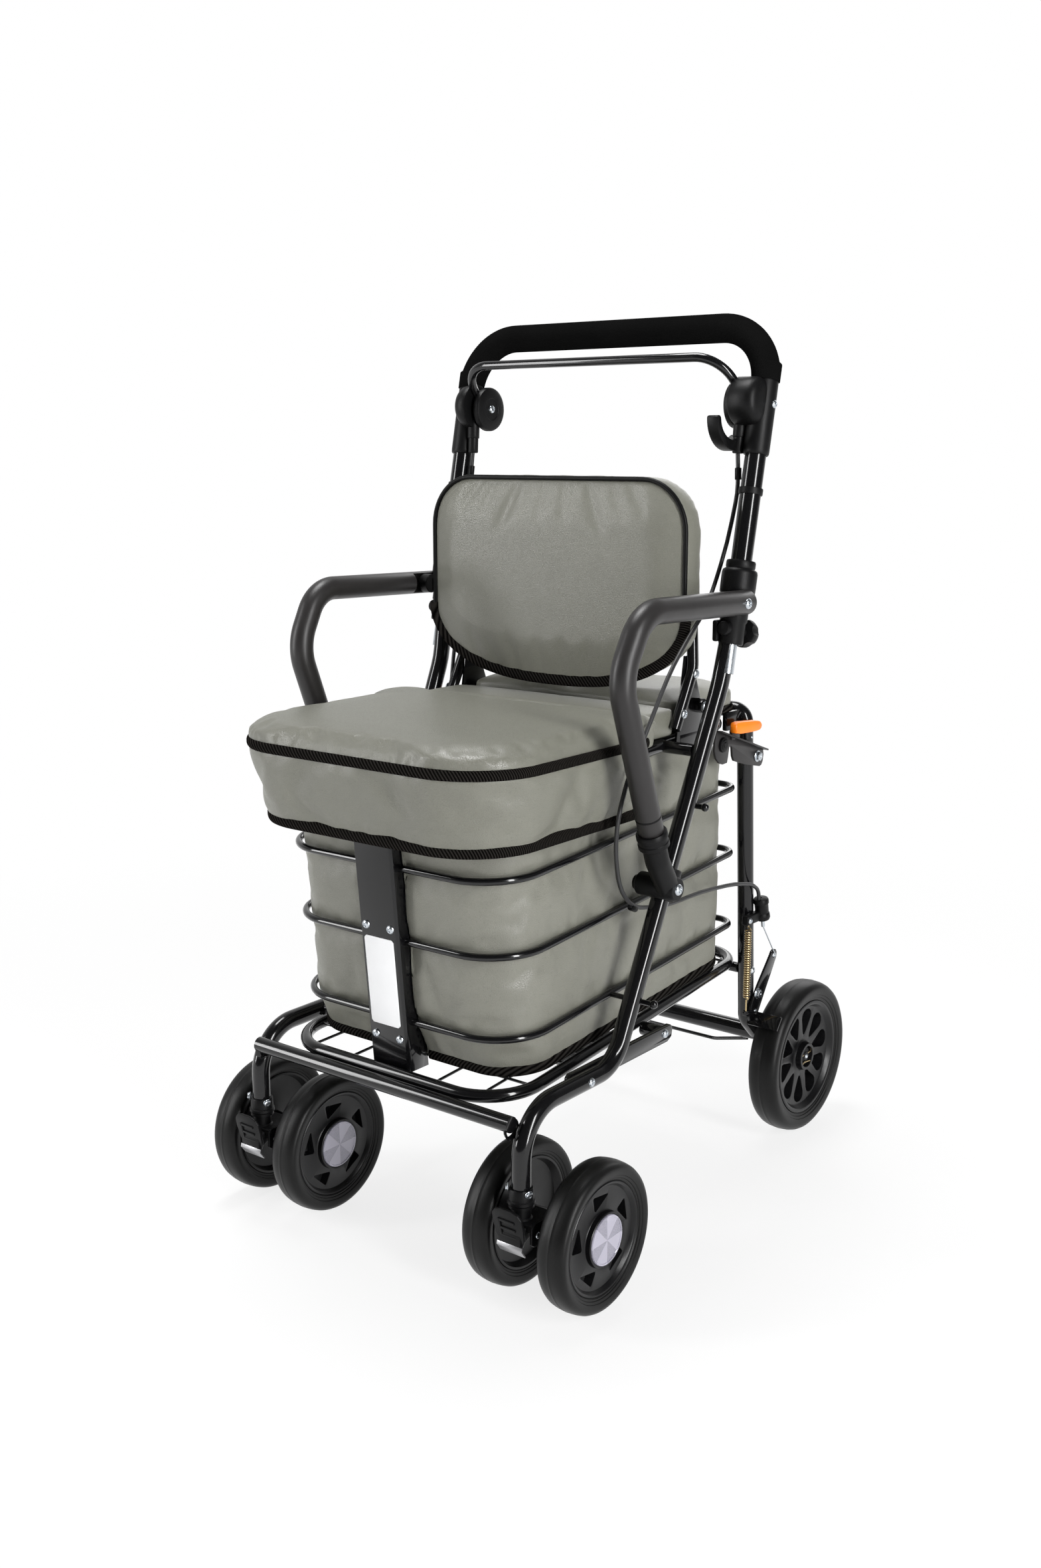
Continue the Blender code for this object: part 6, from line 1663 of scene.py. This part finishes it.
def tape(corners, bends, radius, tall, level_z, sides=14):
    """A tube along a level path, stretched upright into a folded strip."""
    strip = bend_tube(corners, bends, radius, sides=sides, arc_step=0.10)
    strip.data.transform(Matrix.Translation((0, 0, level_z)) @ Matrix.Scale(tall, 4, (0, 0, 1))
                         @ Matrix.Translation((0, 0, -level_z)))
    return run_along(strip, rounded_path(corners, bends))


# %% [markdown]
# ## Seat lid
# The lid is a shallow cushion with a vinyl skirt. The skirt starts as an open line under
# the seam. It is extruded down in rows, each drawn in a little, and puffed between its
# two taped edges.

# %% Seat cushion
LID_HALF, LID_FRONT, LID_REAR, LID_CORNER = 0.176, -0.350, -0.0735, 0.080


def plan(half, front, rear, front_corner, rear_corner, count=12):
    """Plan of a cushion with round corners, counted from its rear right."""
    right = arc_points((half - front_corner, front + front_corner), (front_corner, front_corner), 0, -90, count)
    left = arc_points((-half + front_corner, front + front_corner), (front_corner, front_corner), -90, -180, count)
    back_left = arc_points((-half + rear_corner, rear - rear_corner), (rear_corner, rear_corner), 180, 90, 5)
    back_right = arc_points((half - rear_corner, rear - rear_corner), (rear_corner, rear_corner), 90, 0, 5)
    return [*right, *left, *back_left, *back_right]


lid_pad = cut_sheet(plan(LID_HALF - 0.0015, LID_FRONT + 0.0015, LID_REAR - 0.0005, LID_CORNER, 0.010), 0.5215, 0.5450,
                    rim=0.0, plane="XY")
pick_faces(lid_pad, lambda face: face.normal.z > 0.9)
bpy.ops.mesh.inset(thickness=0.022)
bpy.ops.transform.translate(value=(0, 0, 0.0035))
bpy.ops.mesh.inset(thickness=0.028)
bpy.ops.transform.translate(value=(0, 0, 0.0020))
settle(lid_pad)
stuffed(lid_pad, 0.005, grain=0.0048, pressure=3.5, spare=-0.02,
        held=lambda place: place.z < 0.5305)
finished(lid_pad, "lid_cushion", seat_vinyl, "seat_lid", "seat_lid")

# %% Lid skirt
seam_line = [(LID_HALF - 0.002, LID_REAR - 0.020, 0), (LID_HALF - 0.002, LID_FRONT + 0.002, 0),
             (-LID_HALF + 0.002, LID_FRONT + 0.002, 0), (-LID_HALF + 0.002, LID_REAR - 0.020, 0)]


def wall_line(path, z):
    """An open line of edges along a path at one height."""
    piece = one_point((path[0].x, path[0].y, z))
    for before, after in zip(path, path[1:]):
        steps = max(1, round((after - before).length / 0.008))
        for _ in range(steps):
            push((after - before) / steps)
    bpy.ops.mesh.select_all(action="SELECT")
    return piece


SKIRT_ROWS, SKIRT_TOP, SKIRT_FOOT, SKIRT_BEND = 11, 0.5270, 0.4500, 0.078
DRAWN_ACROSS, DRAWN_ALONG = 0.088, 0.055
skirt = wall_line(rounded_path(seam_line, [0, SKIRT_BEND, SKIRT_BEND, 0], step=0.007), SKIRT_TOP)
for _ in range(SKIRT_ROWS):
    push((0, 0, (SKIRT_FOOT - SKIRT_TOP) / SKIRT_ROWS))
    bpy.ops.transform.resize(value=(1 - DRAWN_ACROSS / SKIRT_ROWS, 1 - DRAWN_ALONG / SKIRT_ROWS, 1),
                             center_override=(0, LID_REAR, 0))
bpy.ops.mesh.select_all(action="SELECT")
bpy.ops.mesh.normals_make_consistent(inside=False)
settle(skirt)
if sum(face.normal.y for face in skirt.data.polygons if face.center.y < -0.32) > 0:
    shape(skirt)
    bpy.ops.mesh.flip_normals()
    settle(skirt)
puffed(skirt, 0.0040, 2.2, -0.03, lambda place: place.z > SKIRT_TOP - 0.002 or place.z < SKIRT_FOOT + 0.010)
use(skirt, "SOLIDIFY", thickness=0.0022, offset=-1.0)
use(skirt, "SUBSURF", levels=1)
finished(skirt, "lid_skirt", seat_vinyl, "seat_lid")

# %% Lid tapes
SEAM_Z, HEM_Z = 0.5292, 0.4545
top_tape = tape([(x, y, SEAM_Z) for x, y, _ in seam_line], [0, SKIRT_BEND, SKIRT_BEND, 0], 0.0030, 1.75, SEAM_Z)
finished(top_tape, "lid_seam_tape", edging, "seat_lid")
FOOT_ACROSS, FOOT_ALONG = 0.9145, 0.9455
foot_line = [(x * FOOT_ACROSS, LID_REAR + (y - LID_REAR) * FOOT_ALONG, HEM_Z) for x, y, _ in seam_line]
foot_tape = tape(foot_line, [0, 0.073, 0.073, 0], 0.0034, 2.0, HEM_Z)
finished(foot_tape, "lid_foot_tape", edging, "seat_lid")

# %% [markdown]
# ## Seat bridge and rear flap
# Behind the lid a narrow fixed pad fills the gap under the backrest, and a flap closes
# the rear of the bag. Both are made like the lid.

# %% Bridge and flap
bridge_pad = cut_sheet(plan(0.1475, LID_REAR + 0.002, -0.0010, 0.010, 0.010, 4), 0.5205, 0.5490, rim=0.0, plane="XY")
stuffed(bridge_pad, 0.003, grain=0.0045, pressure=3.0, spare=-0.015)
finished(bridge_pad, "bridge_cushion", seat_vinyl, "frame", "seat_bridge")
FLAP_HALF, FLAP_REAR, FLAP_SEAM_Z = 0.1400, 0.1440, 0.5335
flap_pad = cut_sheet(plan(FLAP_HALF, 0.0090, FLAP_REAR, 0.016, 0.024, 6), 0.5290, 0.5545, rim=0.0, plane="XY")
stuffed(flap_pad, 0.008, grain=0.0048, pressure=4.0, spare=-0.02)
finished(flap_pad, "flap_cushion", seat_vinyl, "rear_flap", "rear_flap")
flap_seam = [(side * FLAP_HALF, y, FLAP_SEAM_Z)
             for side, y in ((1, 0.013), (1, FLAP_REAR), (-1, FLAP_REAR), (-1, 0.013))]
flap_tape = tape(flap_seam, [0, 0.024, 0.024, 0], 0.0022, 1.9, FLAP_SEAM_Z)
finished(flap_tape, "flap_seam_tape", edging, "rear_flap")

# %% [markdown]
# ## Backrest
# The backrest has flat sides, round shoulders and a deep curved foot. Shiny piping runs
# round its front edge, and a broad dark band binds the curved foot.

# %% Backrest outline
BACK_HALF, BACK_TOP, BACK_BEND, BACK_FOOT, BACK_SHOULDER = 0.170, 0.788, 0.640, 0.565, 0.056


def back_curve(inset, count=22):
    """The backrest's curved foot from its right side to its left."""
    half, drop = BACK_HALF - inset, BACK_BEND - BACK_FOOT - inset
    places = []
    for step in range(count + 1):
        angle = math.pi * step / count
        across = math.copysign(abs(math.cos(angle)) ** 0.78, math.cos(angle))
        places.append((half * across, BACK_BEND - drop * math.sin(angle)))
    return places


def back_outline(inset):
    half, top, bend = BACK_HALF - inset, BACK_TOP - inset, BACK_SHOULDER - inset
    left = arc_points((-half + bend, top - bend), (bend, bend), 180, 90, 10)
    right = arc_points((half - bend, top - bend), (bend, bend), 90, 0, 10)
    return [*back_curve(inset), *left, *right]


# %% Backrest cushion
BACK_SEAM_Y = -0.0185
back_pad = cut_sheet(back_outline(0.0015), -0.0180, 0.0130, rim=0.0, plane="XZ")
pick_faces(back_pad, lambda face: face.normal.y < -0.9)
bpy.ops.mesh.inset(thickness=0.016)
bpy.ops.transform.translate(value=(0, -0.0045, 0))
bpy.ops.mesh.inset(thickness=0.024)
bpy.ops.transform.translate(value=(0, -0.0022, 0))
settle(back_pad)


def near_back_seam(place):
    return place.y > 0.011 or (-0.0195 < place.y < -0.0145)


stuffed(back_pad, 0.0040, grain=0.0048, pressure=3.5, spare=-0.008, held=near_back_seam)
finished(back_pad, "back_cushion", seat_vinyl, "frame", "backrest_cushion")

# %% Backrest piping and band
cord_half, cord_top, cord_low = BACK_HALF - 0.0030, BACK_TOP - 0.0030, BACK_BEND - 0.006
cord_line = [(cord_half, BACK_SEAM_Y, cord_low), (cord_half, BACK_SEAM_Y, cord_top),
             (-cord_half, BACK_SEAM_Y, cord_top), (-cord_half, BACK_SEAM_Y, cord_low)]
back_piping = bend_tube(cord_line, [0, BACK_SHOULDER - 0.003, BACK_SHOULDER - 0.003, 0], 0.0025, sides=16)
finished(back_piping, "back_piping", piping, "frame")
band_line = [Vector((x, BACK_SEAM_Y, z + 0.0035)) for x, z in back_curve(0.0010, 40)]
back_band = hanging(band_line, 0.0062, sides=16)
back_band.data.transform(Matrix.Translation((0, BACK_SEAM_Y, 0)) @ Matrix.Scale(0.55, 4, (0, 1, 0))
                         @ Matrix.Translation((0, -BACK_SEAM_Y, 0)))
run_along(back_band, band_line)
finished(back_band, "back_band", edging, "frame")

# %% [markdown]
# ## Shopping bag
# The bag is a sewn vinyl tub. Its outline is extruded up in rows, and each row is stretched
# forward so that the front wall follows the slope of the channel. The rows at the hoops
# are held and the rest is puffed, so that the vinyl swells between the wires.

# %% Bag sizes
BAG_REAR, BAG_RISE, BAG_FOOT = 0.1550, 0.018, 0.2210
TILT_FRONT = -0.2950
BAG_TILT = Matrix(((1, 0, 0, 0), (0, 1, 0, 0), (0, BAG_RISE / (BAG_REAR - TILT_FRONT), 1,
                                                -TILT_FRONT * BAG_RISE / (BAG_REAR - TILT_FRONT)), (0, 0, 0, 1)))


def bag_front(z):
    """y of the bag's front: behind the hoops, and drawn in below the lowest one."""
    return front_face(z) + 0.019 + max(0.0, 0.250 - z) * 0.30


def raise_row(z, step):
    push((0, 0, step))
    grown = (BAG_REAR - bag_front(z + step)) / (BAG_REAR - bag_front(z))
    bpy.ops.transform.resize(value=(1, grown, 1), center_override=(0, BAG_REAR, 0))
    return z + step


foot_front = bag_front(BAG_FOOT)
print("bag foot is", round(BAG_REAR - foot_front, 3), "m deep")

# %% Raise the wall in rows
bag_corners = [(0.0, foot_front, 0), (0.1445, foot_front, 0), (0.1255, BAG_REAR, 0), (-0.1255, BAG_REAR, 0),
               (-0.1445, foot_front, 0), (0.0, foot_front, 0)]
bag_path = rounded_path(bag_corners, [0, 0.050, 0.040, 0.040, 0.050, 0], step=0.009)
bag = wall_line(bag_path, BAG_FOOT)
bpy.ops.mesh.remove_doubles(threshold=0.001)
row_z, FLOOR_MIDDLE = BAG_FOOT, (0, -0.07, 0)
for number in range(28):
    row_z = raise_row(row_z, 0.0084)
for number in range(5):
    row_z = raise_row(row_z, 0.0064)
    bpy.ops.transform.resize(value=(0.997, 0.985, 1), center_override=(0, bag_front(row_z), 0))
print("bag wall:", len(bag_path), "points along its foot, rim at z", round(row_z, 3))

# %% Close the floor
bpy.ops.mesh.select_all(action="DESELECT")
bpy.ops.object.mode_set(mode="OBJECT")
for vertex in bag.data.vertices:
    vertex.select = vertex.co.z < BAG_FOOT + 0.0005
bpy.ops.object.mode_set(mode="EDIT")
bpy.ops.mesh.select_mode(type="VERT")
push((0, 0, -0.0045))
bpy.ops.transform.resize(value=(0.985, 0.990, 1), center_override=FLOOR_MIDDLE)
push((0, 0, -0.0030))
bpy.ops.transform.resize(value=(0.965, 0.975, 1), center_override=FLOOR_MIDDLE)
for number in range(9):
    push((0, 0, -0.0001))
    bpy.ops.transform.resize(value=(0.86, 0.86, 1), center_override=FLOOR_MIDDLE)
bpy.ops.mesh.edge_face_add()
bpy.ops.mesh.select_all(action="SELECT")
bpy.ops.mesh.normals_make_consistent(inside=False)
settle(bag)
print("bag with its floor:", len(bag.data.polygons), "faces")


# %% Swell the bag and cut its slot
def bag_held(place):
    """Rows at the three hoops, the rim and the floor don't move."""
    at_hoop = min(abs(place.z - hoop_z) for hoop_z in HOOP_HEIGHTS.values())
    return place.z < 0.2230 or place.z > 0.4700 or at_hoop < 0.0045


puffed(bag, 0.0055, 2.6, -0.022, bag_held)
bag.data.transform(BAG_TILT)
cut_block = block((-0.0262, -0.0300, 0.150), (0.0262, 0.0312, 0.520), rim=0.0030, segments=3)
cut_block.data.transform(LEAN)
use(bag, "SOLIDIFY", thickness=0.0020, offset=-1.0)
cut_out(bag, cut_block)
use(bag, "SUBSURF", levels=1, subdivision_type="SIMPLE")
use(bag, "SMOOTH", factor=0.5, iterations=3)
finished(bag, "bag_wall", bag_vinyl, "frame", "shopping_bag")

# %% Bag hem
hem_front, hem_z = foot_front + 0.0012, 0.2175
hem_line = [(0.0290, hem_front, hem_z), (0.1432, hem_front, hem_z), (0.1245, BAG_REAR - 0.0012, hem_z),
            (-0.1245, BAG_REAR - 0.0012, hem_z), (-0.1432, hem_front, hem_z), (-0.0290, hem_front, hem_z)]
hem = tape(hem_line, [0, 0.049, 0.040, 0.040, 0.049, 0], 0.0028, 2.1, hem_z)
hem.data.transform(BAG_TILT)
finished(hem, "bag_hem_tape", edging, "frame")

# %% [markdown]
# ## Clear away the patterns
# The fastener patterns that the screws were copied from are removed.

discard(*PATTERNS.values())
